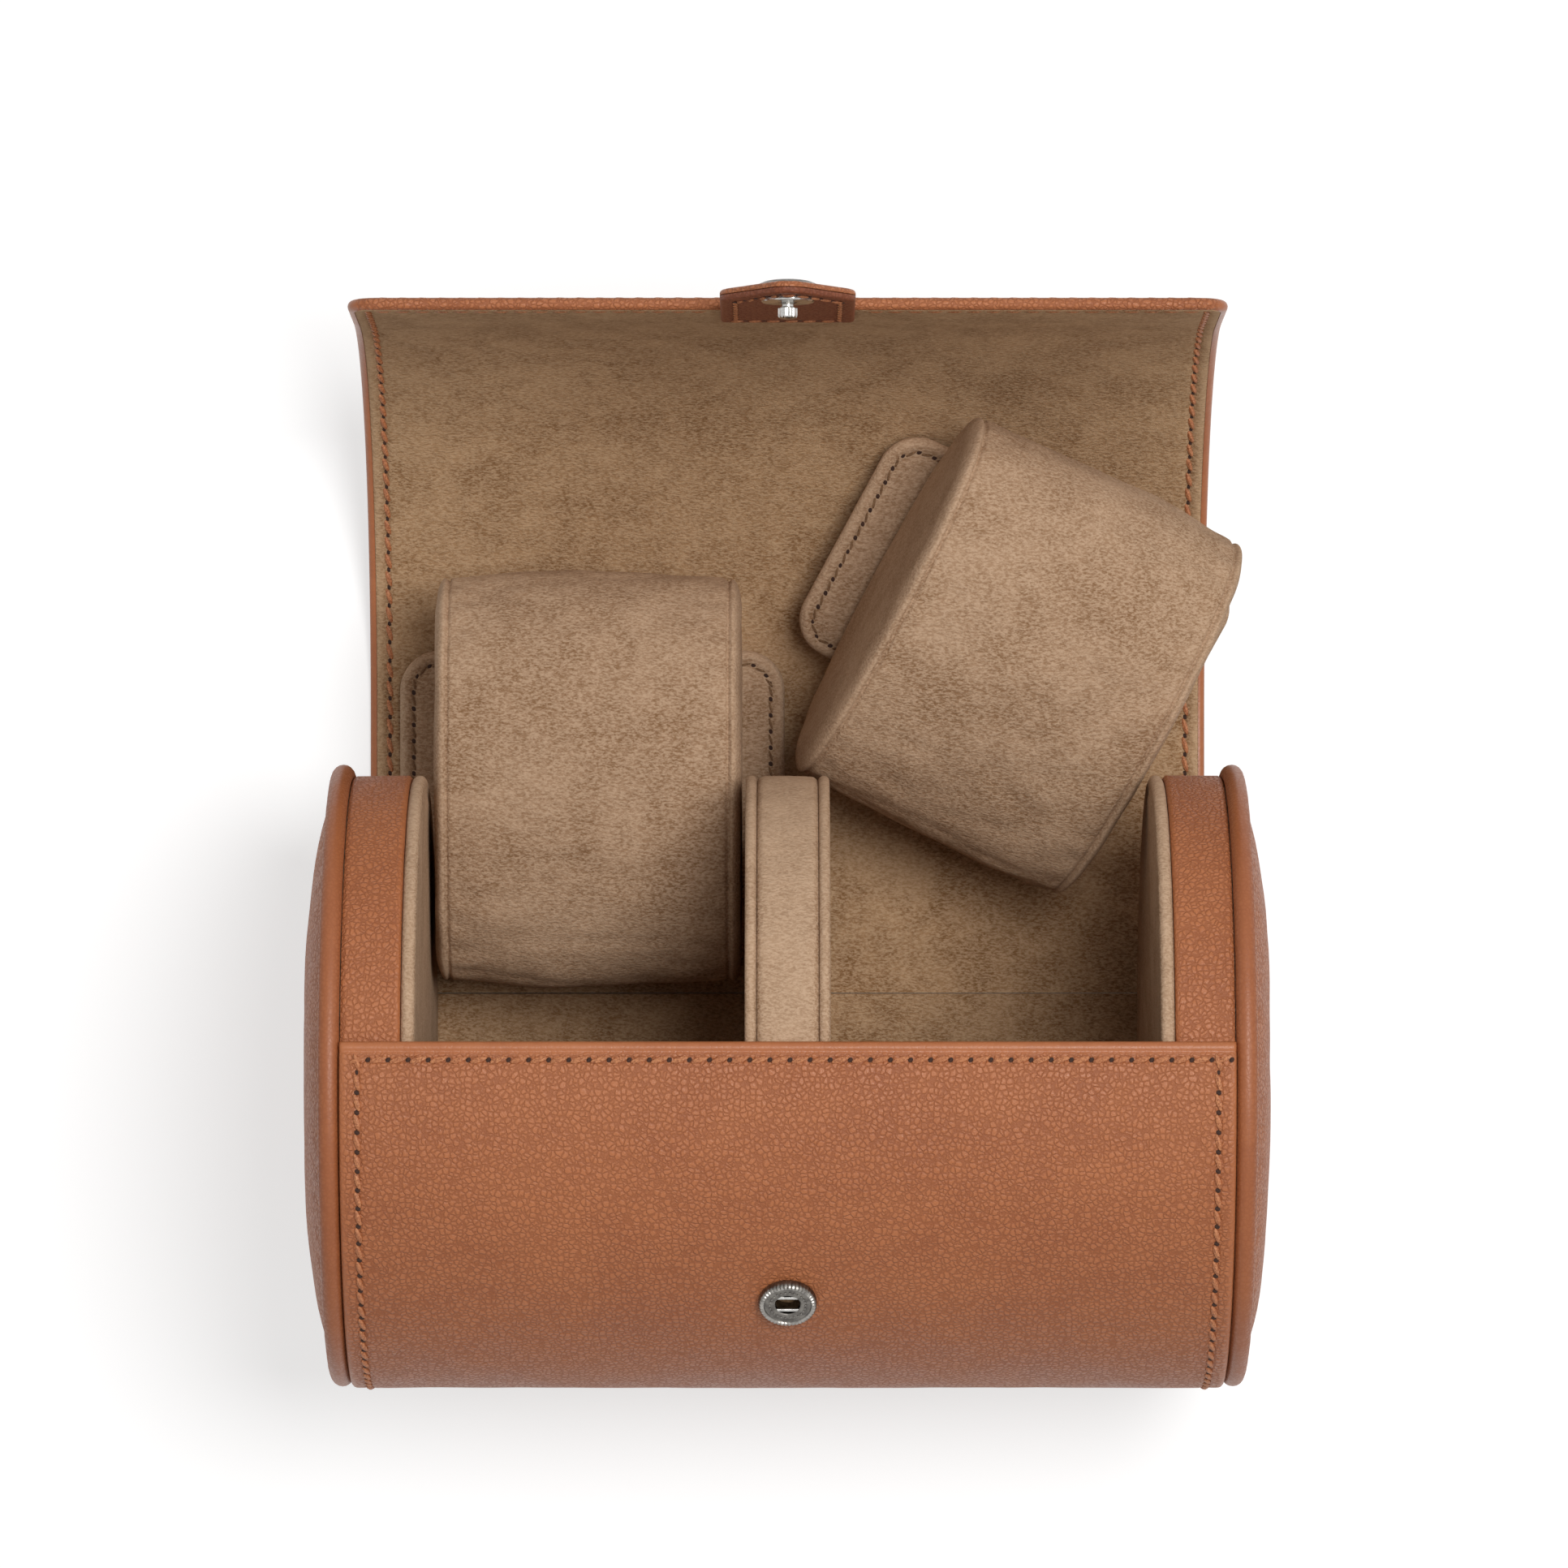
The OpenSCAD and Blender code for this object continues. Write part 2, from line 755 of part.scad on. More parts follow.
// The panel that goes round the cushion's face and ends, with its padding.
module cushion_cover(side) {
    color(taupe_suede)
        on_cushion(side)
            translate([0, 0, pad_lift])
                difference() {
                    pad_loft(pad_half, cushion_crown, face_shares(pad_face_steps));
                    core_solid();
                }
}

// The oval panel on one side of the cushion, outside the seam.
module cushion_side(side, hand) {
    shares = hand < 0 ? reversed(-1 * side_shares()) : side_shares();
    color(taupe_suede)
        on_cushion(side)
            translate([0, 0, pad_lift])
                pad_loft(pad_half, cushion_crown, shares);
}

module cushion_core(side) {
    color(pale_foam)
        on_cushion(side)
            translate([0, 0, pad_lift])
                core_solid();
}

// The padded base panel, whose wings stand out on both sides.
module cushion_base(side) {
    r = base_panel_corner_r;
    x = base_panel_w / 2 - r;
    y = base_panel_l / 2 - r;
    color(taupe_suede)
        on_cushion(side)
            linear_extrude(height = base_panel_t)
                rounded_outline([[-x, -y], [x, -y], [x, y], [-x, y]], r);
}

wrap_leather();
wrap_board();
wrap_lining();
end_face(-1);  // end_face_left
end_face(1);  // end_face_right
end_core(-1);  // end_core_left
end_core(1);  // end_core_right
piping(-1);  // piping_left
piping(1);  // piping_right
side_band(-1);  // side_band_left
side_band(1);  // side_band_right
end_facing(-1);  // end_facing_left
end_facing(1);  // end_facing_right
divider_core();
divider_strip();
divider_face(-1);  // divider_face_left
divider_face(1);  // divider_face_right
snap_socket();
snap_spring();
socket_washer();
flap_leather(1);  // flap_leather_1
flap_leather(2);  // flap_leather_2
flap_leather(3);  // flap_leather_3
flap_leather(4);  // flap_leather_4
flap_leather(5);  // flap_leather_5
flap_leather(6);  // flap_leather_6
flap_leather(7);  // flap_leather_7
flap_leather(8);  // flap_leather_8
flap_leather(9);  // flap_leather_9
flap_lining(1);  // flap_lining_1
flap_lining(2);  // flap_lining_2
flap_lining(3);  // flap_lining_3
flap_lining(4);  // flap_lining_4
flap_lining(5);  // flap_lining_5
flap_lining(6);  // flap_lining_6
flap_lining(7);  // flap_lining_7
flap_lining(8);  // flap_lining_8
flap_lining(9);  // flap_lining_9
tab_root_leather();
tab_root_backing();
tab_leather();
tab_backing();
snap_stud();
stud_cap();
cushion_cover(-1);  // cushion_left_cover
cushion_side(-1, -1);  // cushion_left_side_a
cushion_side(-1, 1);  // cushion_left_side_b
cushion_base(-1);  // cushion_left_base
cushion_core(-1);  // cushion_left_core
cushion_cover(1);  // cushion_right_cover
cushion_side(1, -1);  // cushion_right_side_a
cushion_side(1, 1);  // cushion_right_side_b
cushion_base(1);  // cushion_right_base
cushion_core(1);  // cushion_right_core
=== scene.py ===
"""Double watch roll: dresses the roll's solid frame in leather, suede, thread and metal."""

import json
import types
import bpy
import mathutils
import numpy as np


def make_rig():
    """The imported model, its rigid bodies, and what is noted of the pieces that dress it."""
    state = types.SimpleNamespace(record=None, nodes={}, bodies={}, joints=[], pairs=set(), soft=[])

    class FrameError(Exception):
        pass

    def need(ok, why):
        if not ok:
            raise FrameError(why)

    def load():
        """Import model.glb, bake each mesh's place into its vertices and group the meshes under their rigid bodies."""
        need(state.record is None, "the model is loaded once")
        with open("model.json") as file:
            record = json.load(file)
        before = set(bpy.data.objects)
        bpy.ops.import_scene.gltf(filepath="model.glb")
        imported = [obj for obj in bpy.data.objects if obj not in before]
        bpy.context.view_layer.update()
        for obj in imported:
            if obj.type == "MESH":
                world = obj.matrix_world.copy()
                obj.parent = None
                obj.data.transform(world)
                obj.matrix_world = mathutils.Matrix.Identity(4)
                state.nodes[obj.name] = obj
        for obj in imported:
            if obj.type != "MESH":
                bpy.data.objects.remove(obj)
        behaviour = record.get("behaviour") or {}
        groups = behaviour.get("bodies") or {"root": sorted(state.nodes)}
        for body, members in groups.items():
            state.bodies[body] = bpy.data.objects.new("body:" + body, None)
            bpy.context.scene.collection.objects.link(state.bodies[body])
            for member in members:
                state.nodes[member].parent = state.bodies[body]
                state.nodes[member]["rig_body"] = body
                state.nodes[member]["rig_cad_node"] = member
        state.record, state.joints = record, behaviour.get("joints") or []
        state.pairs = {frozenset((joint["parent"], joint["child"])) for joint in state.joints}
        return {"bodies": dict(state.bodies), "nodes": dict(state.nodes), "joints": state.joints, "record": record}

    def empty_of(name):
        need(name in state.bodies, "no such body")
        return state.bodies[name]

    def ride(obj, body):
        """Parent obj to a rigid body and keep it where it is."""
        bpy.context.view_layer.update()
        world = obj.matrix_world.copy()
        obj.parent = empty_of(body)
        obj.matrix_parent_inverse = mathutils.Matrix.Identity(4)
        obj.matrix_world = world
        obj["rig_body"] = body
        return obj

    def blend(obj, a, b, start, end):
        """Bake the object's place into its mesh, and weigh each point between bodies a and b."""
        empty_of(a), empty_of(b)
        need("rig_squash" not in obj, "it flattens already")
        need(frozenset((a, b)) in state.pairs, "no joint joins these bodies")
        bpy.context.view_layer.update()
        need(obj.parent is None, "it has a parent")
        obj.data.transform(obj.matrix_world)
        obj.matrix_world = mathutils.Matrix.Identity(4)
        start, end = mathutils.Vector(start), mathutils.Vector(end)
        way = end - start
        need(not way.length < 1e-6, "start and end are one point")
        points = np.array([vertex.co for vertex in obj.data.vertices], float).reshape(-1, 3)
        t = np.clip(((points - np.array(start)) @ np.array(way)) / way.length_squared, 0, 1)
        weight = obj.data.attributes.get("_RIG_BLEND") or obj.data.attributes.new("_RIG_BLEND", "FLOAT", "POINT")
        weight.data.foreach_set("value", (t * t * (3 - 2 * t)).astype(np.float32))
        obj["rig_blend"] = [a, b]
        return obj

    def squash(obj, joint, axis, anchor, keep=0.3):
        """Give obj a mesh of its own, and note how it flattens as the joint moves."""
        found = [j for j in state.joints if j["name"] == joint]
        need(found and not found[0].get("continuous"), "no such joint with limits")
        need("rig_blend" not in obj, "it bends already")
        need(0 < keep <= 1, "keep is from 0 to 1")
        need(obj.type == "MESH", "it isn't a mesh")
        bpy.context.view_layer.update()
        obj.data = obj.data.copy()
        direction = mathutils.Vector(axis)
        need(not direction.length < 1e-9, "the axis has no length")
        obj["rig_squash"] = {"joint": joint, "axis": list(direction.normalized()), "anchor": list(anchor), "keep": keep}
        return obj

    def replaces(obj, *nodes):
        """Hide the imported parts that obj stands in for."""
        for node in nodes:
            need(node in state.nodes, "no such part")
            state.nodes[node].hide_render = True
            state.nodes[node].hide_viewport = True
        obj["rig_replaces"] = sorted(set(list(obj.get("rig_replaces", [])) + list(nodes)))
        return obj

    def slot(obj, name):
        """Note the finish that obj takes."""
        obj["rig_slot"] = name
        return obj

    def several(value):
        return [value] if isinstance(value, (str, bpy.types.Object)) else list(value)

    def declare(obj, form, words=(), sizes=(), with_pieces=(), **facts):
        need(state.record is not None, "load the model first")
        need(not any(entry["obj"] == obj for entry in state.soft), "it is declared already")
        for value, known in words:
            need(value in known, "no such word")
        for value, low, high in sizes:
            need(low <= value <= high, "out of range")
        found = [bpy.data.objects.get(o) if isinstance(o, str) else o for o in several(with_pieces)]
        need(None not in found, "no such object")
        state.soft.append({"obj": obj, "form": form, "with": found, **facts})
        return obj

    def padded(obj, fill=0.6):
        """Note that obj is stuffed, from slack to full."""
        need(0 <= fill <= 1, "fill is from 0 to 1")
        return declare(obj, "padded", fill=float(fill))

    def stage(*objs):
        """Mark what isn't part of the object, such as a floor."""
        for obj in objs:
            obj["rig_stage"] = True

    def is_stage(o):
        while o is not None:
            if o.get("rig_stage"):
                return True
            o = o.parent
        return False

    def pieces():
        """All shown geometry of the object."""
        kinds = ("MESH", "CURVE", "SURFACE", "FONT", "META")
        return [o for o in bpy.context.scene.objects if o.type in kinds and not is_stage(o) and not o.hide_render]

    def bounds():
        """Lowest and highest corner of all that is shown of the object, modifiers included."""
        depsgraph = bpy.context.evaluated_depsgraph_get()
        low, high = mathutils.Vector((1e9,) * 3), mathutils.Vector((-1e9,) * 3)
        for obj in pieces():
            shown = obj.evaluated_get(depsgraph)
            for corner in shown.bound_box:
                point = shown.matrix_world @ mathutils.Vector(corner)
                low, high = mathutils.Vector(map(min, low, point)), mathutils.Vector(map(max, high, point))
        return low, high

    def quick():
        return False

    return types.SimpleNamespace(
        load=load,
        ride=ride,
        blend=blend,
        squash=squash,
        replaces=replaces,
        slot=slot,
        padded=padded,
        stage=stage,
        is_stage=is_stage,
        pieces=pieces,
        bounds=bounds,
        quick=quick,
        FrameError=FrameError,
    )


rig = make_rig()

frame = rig.load()

import json
import logging
import math
from dataclasses import dataclass, field
from enum import Enum
from typing import Callable, Iterable, Iterator, Optional, Sequence

import bmesh
import bpy
from mathutils import Matrix, Vector, noise
from mathutils.bvhtree import BVHTree

LOG = logging.getLogger("watch_roll")
MM = 0.001
SEAM_W = 0.55
ROW_STEP = 1.3
COLUMN_STEP = 1.6
Spot = tuple[Vector, Vector, Vector]
Rgb = tuple[int, int, int]
Outline = Sequence[tuple[float, float]]
Worn = Optional[Callable[[Vector], float]]
X_AXIS, Z_AXIS = Vector((1, 0, 0)), Vector((0, 0, 1))


class Side(Enum):
    """The two ends of the roll, as signs along X."""

    LEFT = -1
    RIGHT = 1

    @property
    def word(self) -> str:
        """The side's name in small letters."""
        return self.name.lower()


class Look(Enum):
    """The finishes that the roll is made in."""

    GRAINED = "grained_leather"
    SMOOTH = "smooth_leather"
    DARK = "dark_leather"
    SUEDE = "suede"
    LID_SUEDE = "lid_suede"
    THREAD = "thread"
    NAP_THREAD = "suede_thread"
    HOLE = "needle_hole"
    NICKEL = "dark_nickel"
    STEEL = "bright_steel"
    FOAM = "foam"
    BOARD = "board"


# Mesh tools. Sizes are in millimetres until a piece is finished.


def steps(start: float, end: float, pitch: float) -> list[float]:
    """Splits a stretch into equal steps.

    Args:
        start: First value.
        end: Last value.
        pitch: Longest step allowed.

    Returns:
        The values from start to end, both included.
    """
    count = max(1, math.ceil(abs(end - start) / pitch - 1e-6))
    return [start + (end - start) * i / count for i in range(count + 1)]


def graded(half: float, fine: float, fine_step: float, step: float) -> list[float]:
    """Stations across a strip, closer together beside both edges.

    Args:
        half: Half of the strip's width.
        fine: Width of the closely stepped border.
        fine_step: Step inside the border.
        step: Step in the middle.

    Returns:
        Stations from -half to half.
    """
    border = steps(half, half - fine, fine_step)
    middle = steps(half - fine, fine - half, step)
    return sorted({round(-x, 5) for x in border} | {round(x, 5) for x in middle + border})


def mirrored(half: float, border: Sequence[float], step: float) -> list[float]:
    """Stations across a strip with finely stepped borders, alike on both sides.

    Args:
        half: Half of the strip's width.
        border: Distances of the border's stations from the strip's edge.
        step: Step between the borders.

    Returns:
        Stations from -half to half.
    """
    edge = [half - e for e in border]
    return sorted(set(steps(edge[-1], -edge[-1], step)) | set(edge) | {-e for e in edge})


def corner_inset(dx: float, dy: float, radius: float) -> float:
    """Distance in from a round-cornered outline, for distances in from its two nearest sides."""
    if dx < radius and dy < radius:
        return radius - math.hypot(radius - dx, radius - dy)
    return min(dx, dy)


def corner_width(half: float, over: float, radius: float) -> float:
    """Half of a round-cornered panel's width at a distance past the corner's start."""
    if over <= 0:
        return half
    return half - radius + math.sqrt(max(0.0, radius ** 2 - over ** 2))


def wander(x: float, y: float, z: float, size: float) -> float:
    """Smooth noise from -1 to 1 whose lumps are about size across."""
    return noise.noise(Vector((x, y, z)) / size)


def bell(distance: float, width: float) -> float:
    """A bump of height 1 at distance 0 that fades over width."""
    return math.exp(-((distance / width) ** 2))


def ease(value: float, low: float, high: float) -> float:
    """Rises smoothly from 0 at low to 1 at high."""
    t = min(1.0, max(0.0, (value - low) / (high - low)))
    return t * t * (3 - 2 * t)


def round_over(inset: float, radius: float) -> float:
    """How far a rounded edge has dropped at a distance in from its outline."""
    if inset >= radius:
        return 0.0
    return radius - math.sqrt(max(0.0, radius * radius - (radius - max(0.0, inset)) ** 2))


def grid_skin(bm: bmesh.types.BMesh, across: Sequence, along: Sequence,
              place: Callable[..., Vector], closed: bool = False) -> None:
    """Lays a grid of faces and puts each of its corners in place.

    Args:
        bm: Mesh that receives the faces.
        across: Parameters of the grid's columns.
        along: Parameters of the grid's rows.
        place: Gives the point for one column and one row.
        closed: Whether corners that fall together are merged.
    """
    columns, rows = len(across) - 1, len(along) - 1
    made = bmesh.ops.create_grid(bm, x_segments=columns, y_segments=rows, size=0.5)["verts"]
    for vert in made:
        i = round((vert.co.x + 0.5) * columns)
        j = round((vert.co.y + 0.5) * rows)
        vert.co = place(across[i], along[j])
    if closed:
        bmesh.ops.remove_doubles(bm, verts=made, dist=1e-4)


def curved_slab(bm: bmesh.types.BMesh, xs: Sequence[float], along: Sequence[float],
                over: Callable[[float, float], float], under: Callable[[float, float], float],
                place: Callable[[float, float, float], Vector]) -> None:
    """Makes a closed sheet with a thickness over a curved path.

    Args:
        bm: Mesh that receives the sheet.
        xs: Stations across the sheet.
        along: Stations along its path.
        over: Height of the upper face at a station pair.
        under: Height of the lower face at a station pair.
        place: Gives the point for a station pair and a height.
    """
    ring = [(x, over) for x in xs] + [(x, under) for x in reversed(xs)]
    ring.append(ring[0])
    grid_skin(bm, ring, along,
              lambda corner, s: place(corner[0], s, corner[1](corner[0], s)), closed=True)
    bmesh.ops.dissolve_degenerate(bm, dist=1e-4, edges=bm.edges)
    bmesh.ops.holes_fill(bm, edges=[e for e in bm.edges if e.is_boundary], sides=0)


def revolve(bm: bmesh.types.BMesh, profile: Sequence[tuple[float, float]], turns: int,
            centre: Vector, axis: Vector, radial: Vector) -> None:
    """Spins a closed profile once round an axis.

    Args:
        bm: Empty mesh that receives the shape.
        profile: Points as (radius, place along the axis).
        turns: Number of steps round.
        centre: A point on the axis.
        axis: Direction of the axis.
        radial: Direction in which the profile's radius is laid.
    """
    verts = [bm.verts.new(centre + radial * r + axis * a) for r, a in profile]
    edges = [bm.edges.new(pair) for pair in zip(verts, verts[1:])]
    bmesh.ops.spin(bm, geom=verts + edges, cent=centre, axis=axis, dvec=(0, 0, 0),
                   angle=math.tau, steps=turns, use_merge=True)
    bmesh.ops.remove_doubles(bm, verts=bm.verts, dist=1e-4)
    bmesh.ops.dissolve_degenerate(bm, dist=1e-4, edges=bm.edges)
    bmesh.ops.recalc_face_normals(bm, faces=bm.faces)


def finish_piece(bm: bmesh.types.BMesh, name: str, looks: Sequence[bpy.types.Material],
                 worn: Worn = None, sharp: float = 50.0, nodes: Sequence[str] = (), slot: str = "",
                 fill: Optional[float] = None, body: str = "") -> bpy.types.Object:
    """Turns a mesh made in millimetres into a piece of the roll.

    Args:
        bm: The mesh; it is freed.
        name: The piece's name.
        looks: Materials in the order of the faces' slots.
        worn: Gives how rubbed the surface is at a point, up to 1, or how deep in a seam, down to -1.
        sharp: Edges that turn more than this many degrees stay crisp.
        nodes: The solids that it stands for.
        slot: The record's material of those solids.
        fill: How firmly it is padded, if it is.
        body: The body that it rides on, where it doesn't bend between two.

    Returns:
        The piece, at the origin and in metres.
    """
    bmesh.ops.recalc_face_normals(bm, faces=bm.faces)
    # This layer holds real wear, up to 1, and seam depth, down to -1, which the suede paints as seam shade.
    if worn is not None:
        layer = bm.verts.layers.float.new("worn")
        for vert in bm.verts:
            vert[layer] = worn(vert.co)
    bmesh.ops.scale(bm, vec=(MM, MM, MM), verts=bm.verts)
    mesh = bpy.data.meshes.new(name)
    bm.to_mesh(mesh)
    bm.free()
    for look in looks:
        mesh.materials.append(look)
    mesh.polygons.foreach_set("use_smooth", [True] * len(mesh.polygons))
    mesh.set_sharp_from_angle(angle=math.radians(sharp))
    piece = bpy.data.objects.new(name, mesh)
    bpy.context.scene.collection.objects.link(piece)
    LOG.info("%s: %d faces", name, len(mesh.polygons))
    if nodes:
        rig.replaces(piece, *nodes)
    if slot:
        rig.slot(piece, slot)
    if body:
        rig.ride(piece, body)
    if fill is not None:
        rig.padded(piece, fill=fill)
    return piece


# Finishes


def linear(colour: Rgb) -> tuple[float, float, float, float]:
    """Turns a screen colour of 0 to 255 into a linear one with alpha."""
    def channel(value: int) -> float:
        """One channel's linear value."""
        c = value / 255
        return c / 12.92 if c <= 0.04045 else ((c + 0.055) / 1.055) ** 2.4
    return channel(colour[0]), channel(colour[1]), channel(colour[2]), 1.0


class Wiring:
    """Adds and links the nodes of one material or node group."""

    def __init__(self, tree: bpy.types.NodeTree) -> None:
        """Keeps the tree that the nodes go into."""
        self.tree = tree

    def feed(self, node: bpy.types.Node, inputs: dict) -> None:
        """Sets or links inputs of a node.

        Args:
            node: The node.
            inputs: Socket name or number to a value or to another node's output.
        """
        for key, value in inputs.items():
            if isinstance(value, bpy.types.NodeSocket):
                self.tree.links.new(value, node.inputs[key])
            else:
                node.inputs[key].default_value = value

    def add(self, kind: str, inputs: Optional[dict] = None, **settings: object) -> bpy.types.Node:
        """Adds one node.

        Args:
            kind: Blender's name for the node type.
            inputs: What feed takes.
            settings: Properties of the node.

        Returns:
            The new node.
        """
        node = self.tree.nodes.new(kind)
        for key, value in settings.items():
            setattr(node, key, value)
        self.feed(node, inputs or {})
        return node

    def group(self, tree: bpy.types.NodeTree, **inputs: object) -> bpy.types.bpy_prop_collection:
        """Places a node group and gives its outputs."""
        return self.add("ShaderNodeGroup", inputs, node_tree=tree).outputs

    def math(self, operation: str, *values: object, clamp: bool = False) -> bpy.types.NodeSocket:
        """Adds a Math node.

        Args:
            operation: The node's operation.
            values: Its inputs, as numbers or sockets.
            clamp: Whether the result stays within 0 and 1.

        Returns:
            The node's output.
        """
        node = self.add("ShaderNodeMath", dict(enumerate(values)), operation=operation, use_clamp=clamp)
        return node.outputs[0]

    def span(self, value: bpy.types.NodeSocket, low: float, high: float,
             to_low: float = 0.0, to_high: float = 1.0) -> bpy.types.NodeSocket:
        """Maps a stretch of values smoothly onto another one and holds it at the ends.

        Args:
            value: Socket to map.
            low: Value that becomes to_low.
            high: Value that becomes to_high.
            to_low: Result at low.
            to_high: Result at high.

        Returns:
            The mapped value.
        """
        node = self.add("ShaderNodeMapRange", {0: value, 1: low, 2: high, 3: to_low, 4: to_high},
                        interpolation_type="SMOOTHSTEP")
        return node.outputs[0]

    def noise(self, point: bpy.types.NodeSocket, size: float, detail: float = 2.0,
              rough: float = 0.5) -> bpy.types.NodeSocket:
        """Adds noise.

        Args:
            point: Coordinates in metres.
            size: Size of the lumps in millimetres.
            detail: Number of finer layers.
            rough: Strength of the finer layers.

        Returns:
            A value around 0.5.
        """
        node = self.add("ShaderNodeTexNoise", {"Vector": point, "Scale": 1 / (size * MM),
                                               "Detail": detail, "Roughness": rough})
        return node.outputs[0]

    def mix(self, share: object, first: object, second: object,
            blend: str = "MIX") -> bpy.types.NodeSocket:
        """Mixes two colours.

        Args:
            share: Share of the second colour.
            first: First colour or socket.
            second: Second colour or socket.
            blend: Blend type.

        Returns:
            The mixed colour.
        """
        node = self.add("ShaderNodeMix", {0: share, 6: first, 7: second},
                        data_type="RGBA", blend_type=blend)
        return node.outputs[2]


def new_group(name: str, inputs: Sequence[tuple[str, str, float]],
              outputs: Sequence[str]) -> tuple[bpy.types.NodeTree, Wiring, bpy.types.Node, bpy.types.Node]:
    """Starts a shader node group.

    Args:
        name: The group's name.
        inputs: Each input's name, kind of socket and default.
        outputs: Names of its value outputs.

    Returns:
        The group, its wiring, and its input and output nodes.
    """
    tree = bpy.data.node_groups.new(name, "ShaderNodeTree")
    for label, kind, default in inputs:
        socket = tree.interface.new_socket(label, in_out="INPUT", socket_type=kind)
        if kind == "NodeSocketFloat":
            socket.default_value = default
    for label in outputs:
        tree.interface.new_socket(label, in_out="OUTPUT", socket_type="NodeSocketFloat")
    wiring = Wiring(tree)
    return tree, wiring, wiring.add("NodeGroupInput"), wiring.add("NodeGroupOutput")


def grain_group() -> bpy.types.NodeTree:
    """Leather grain: rounded pebbles parted by thin creases, with fine pores.

    Returns:
        A group with the outputs Height and Crease.
    """
    tree, w, given, result = new_group(
        "leather_grain", [("Point", "NodeSocketVector", 0), ("Cell", "NodeSocketFloat", 700.0),
                          ("Worn", "NodeSocketFloat", 0.0)], ["Height", "Crease"])
    point, cell = given.outputs["Point"], given.outputs["Cell"]
    bend = w.add("ShaderNodeTexNoise", {"Vector": point, "Scale": 900.0, "Detail": 3.0})
    shift = w.add("ShaderNodeVectorMath", {0: bend.outputs["Color"], "Scale": 0.0009}, operation="SCALE")
    bent = w.add("ShaderNodeVectorMath", {0: point, 1: shift.outputs[0]}, operation="ADD").outputs[0]

    def cells(scale: object, randomness: float, feature: str) -> bpy.types.NodeSocket:
        """Distances in one cell pattern."""
        node = w.add("ShaderNodeTexVoronoi", {"Vector": bent, "Scale": scale, "Randomness": randomness},
                     feature=feature)
        return node.outputs["Distance"]
    plateau = w.span(cells(cell, 0.9, "DISTANCE_TO_EDGE"), 0.0, 0.24)
    dome = w.math("SUBTRACT", 1.0, cells(cell, 0.9, "F1"), clamp=True)
    fine = w.span(cells(w.math("MULTIPLY", cell, 2.3), 1.0, "DISTANCE_TO_EDGE"), 0.0, 0.2)
    body = w.math("MULTIPLY_ADD", plateau, 0.55, w.math("MULTIPLY", dome, 0.35))
    body = w.math("MULTIPLY_ADD", fine, 0.16, body)
    body = w.math("MULTIPLY_ADD", w.noise(point, 0.22, 2.0), 0.1, body)
    calm = w.math("MULTIPLY_ADD", given.outputs["Worn"], -0.88, 1.0)
    crease = w.math("MULTIPLY", w.math("SUBTRACT", 1.0, plateau), calm, clamp=True)
    w.feed(result, {"Height": w.math("MULTIPLY", body, calm), "Crease": crease})
    return tree


def nap_group() -> bpy.types.NodeTree:
    """Suede nap: short fibres, brushed patches and a soft mottle.

    Returns:
        A group with the outputs Height, Tone and Fibre.
    """
    tree, w, given, result = new_group(
        "suede_nap", [("Point", "NodeSocketVector", 0), ("Mottle", "NodeSocketFloat", 60.0)],
        ["Height", "Tone", "Fibre"])
    point = given.outputs["Point"]
    wide = w.add("ShaderNodeTexNoise", {"Vector": point, "Scale": given.outputs["Mottle"],
                                        "Detail": 4.0, "Roughness": 0.55, "Distortion": 0.6})
    patch = w.noise(point, 3.4, 3.0, 0.6)
    fleck = w.noise(point, 0.75, 3.0, 0.7)
    stretched = w.add("ShaderNodeMapping", {0: point, "Scale": (0.45, 1.0, 1.0),
                                            "Rotation": (0.2, 0.1, 0.7)})
    hairs = w.noise(stretched.outputs[0], 0.36, 2.0, 0.75)
    tone = w.math("MULTIPLY_ADD", wide.outputs[0], 0.55, w.math("MULTIPLY", patch, 0.3))
    tone = w.math("MULTIPLY_ADD", fleck, 0.3, tone)
    height = w.math("MULTIPLY_ADD", hairs, 0.6, w.math("MULTIPLY", fleck, 0.5))
    w.feed(result, {"Tone": w.span(tone, 0.42, 0.72), "Fibre": w.span(hairs, 0.35, 0.65),
                    "Height": w.math("MULTIPLY_ADD", patch, 0.5, height)})
    return tree


def wear_group() -> bpy.types.NodeTree:
    """Handling wear: broad cloudy variation and rubbed edges.

    Returns:
        A group with the outputs Cloud and Rubbed.
    """
    tree, w, given, result = new_group(
        "handling_wear", [("Point", "NodeSocketVector", 0), ("Worn", "NodeSocketFloat", 0.0)],
        ["Cloud", "Rubbed"])
    point = given.outputs["Point"]
    cloud = w.math("MULTIPLY_ADD", w.noise(point, 26.0, 3.0, 0.5), 0.6,
                   w.math("MULTIPLY", w.noise(point, 6.0, 3.0, 0.6), 0.4))
    scuff = w.span(w.noise(point, 1.6, 4.0, 0.65), 0.42, 0.62)
    rubbed = w.math("MULTIPLY", given.outputs["Worn"], w.math("MULTIPLY_ADD", scuff, 0.5, 0.5))
    w.feed(result, {"Cloud": w.span(cloud, 0.36, 0.64), "Rubbed": rubbed})
    return tree


@dataclass(frozen=True)
class Tones:
    """Dark, middle and light screen colours of a finish."""

    dark: Rgb
    mid: Rgb
    light: Rgb

    def linear(self) -> list[tuple[float, float, float, float]]:
        """The three colours as linear ones."""
        return [linear(self.dark), linear(self.mid), linear(self.light)]


class Palette:
    """Holds the node groups that the materials share."""

    def __init__(self) -> None:
        """Builds the groups."""
        self.grain = grain_group()
        self.nap = nap_group()
        self.wear = wear_group()


Wired = tuple[dict, bpy.types.NodeSocket, float]


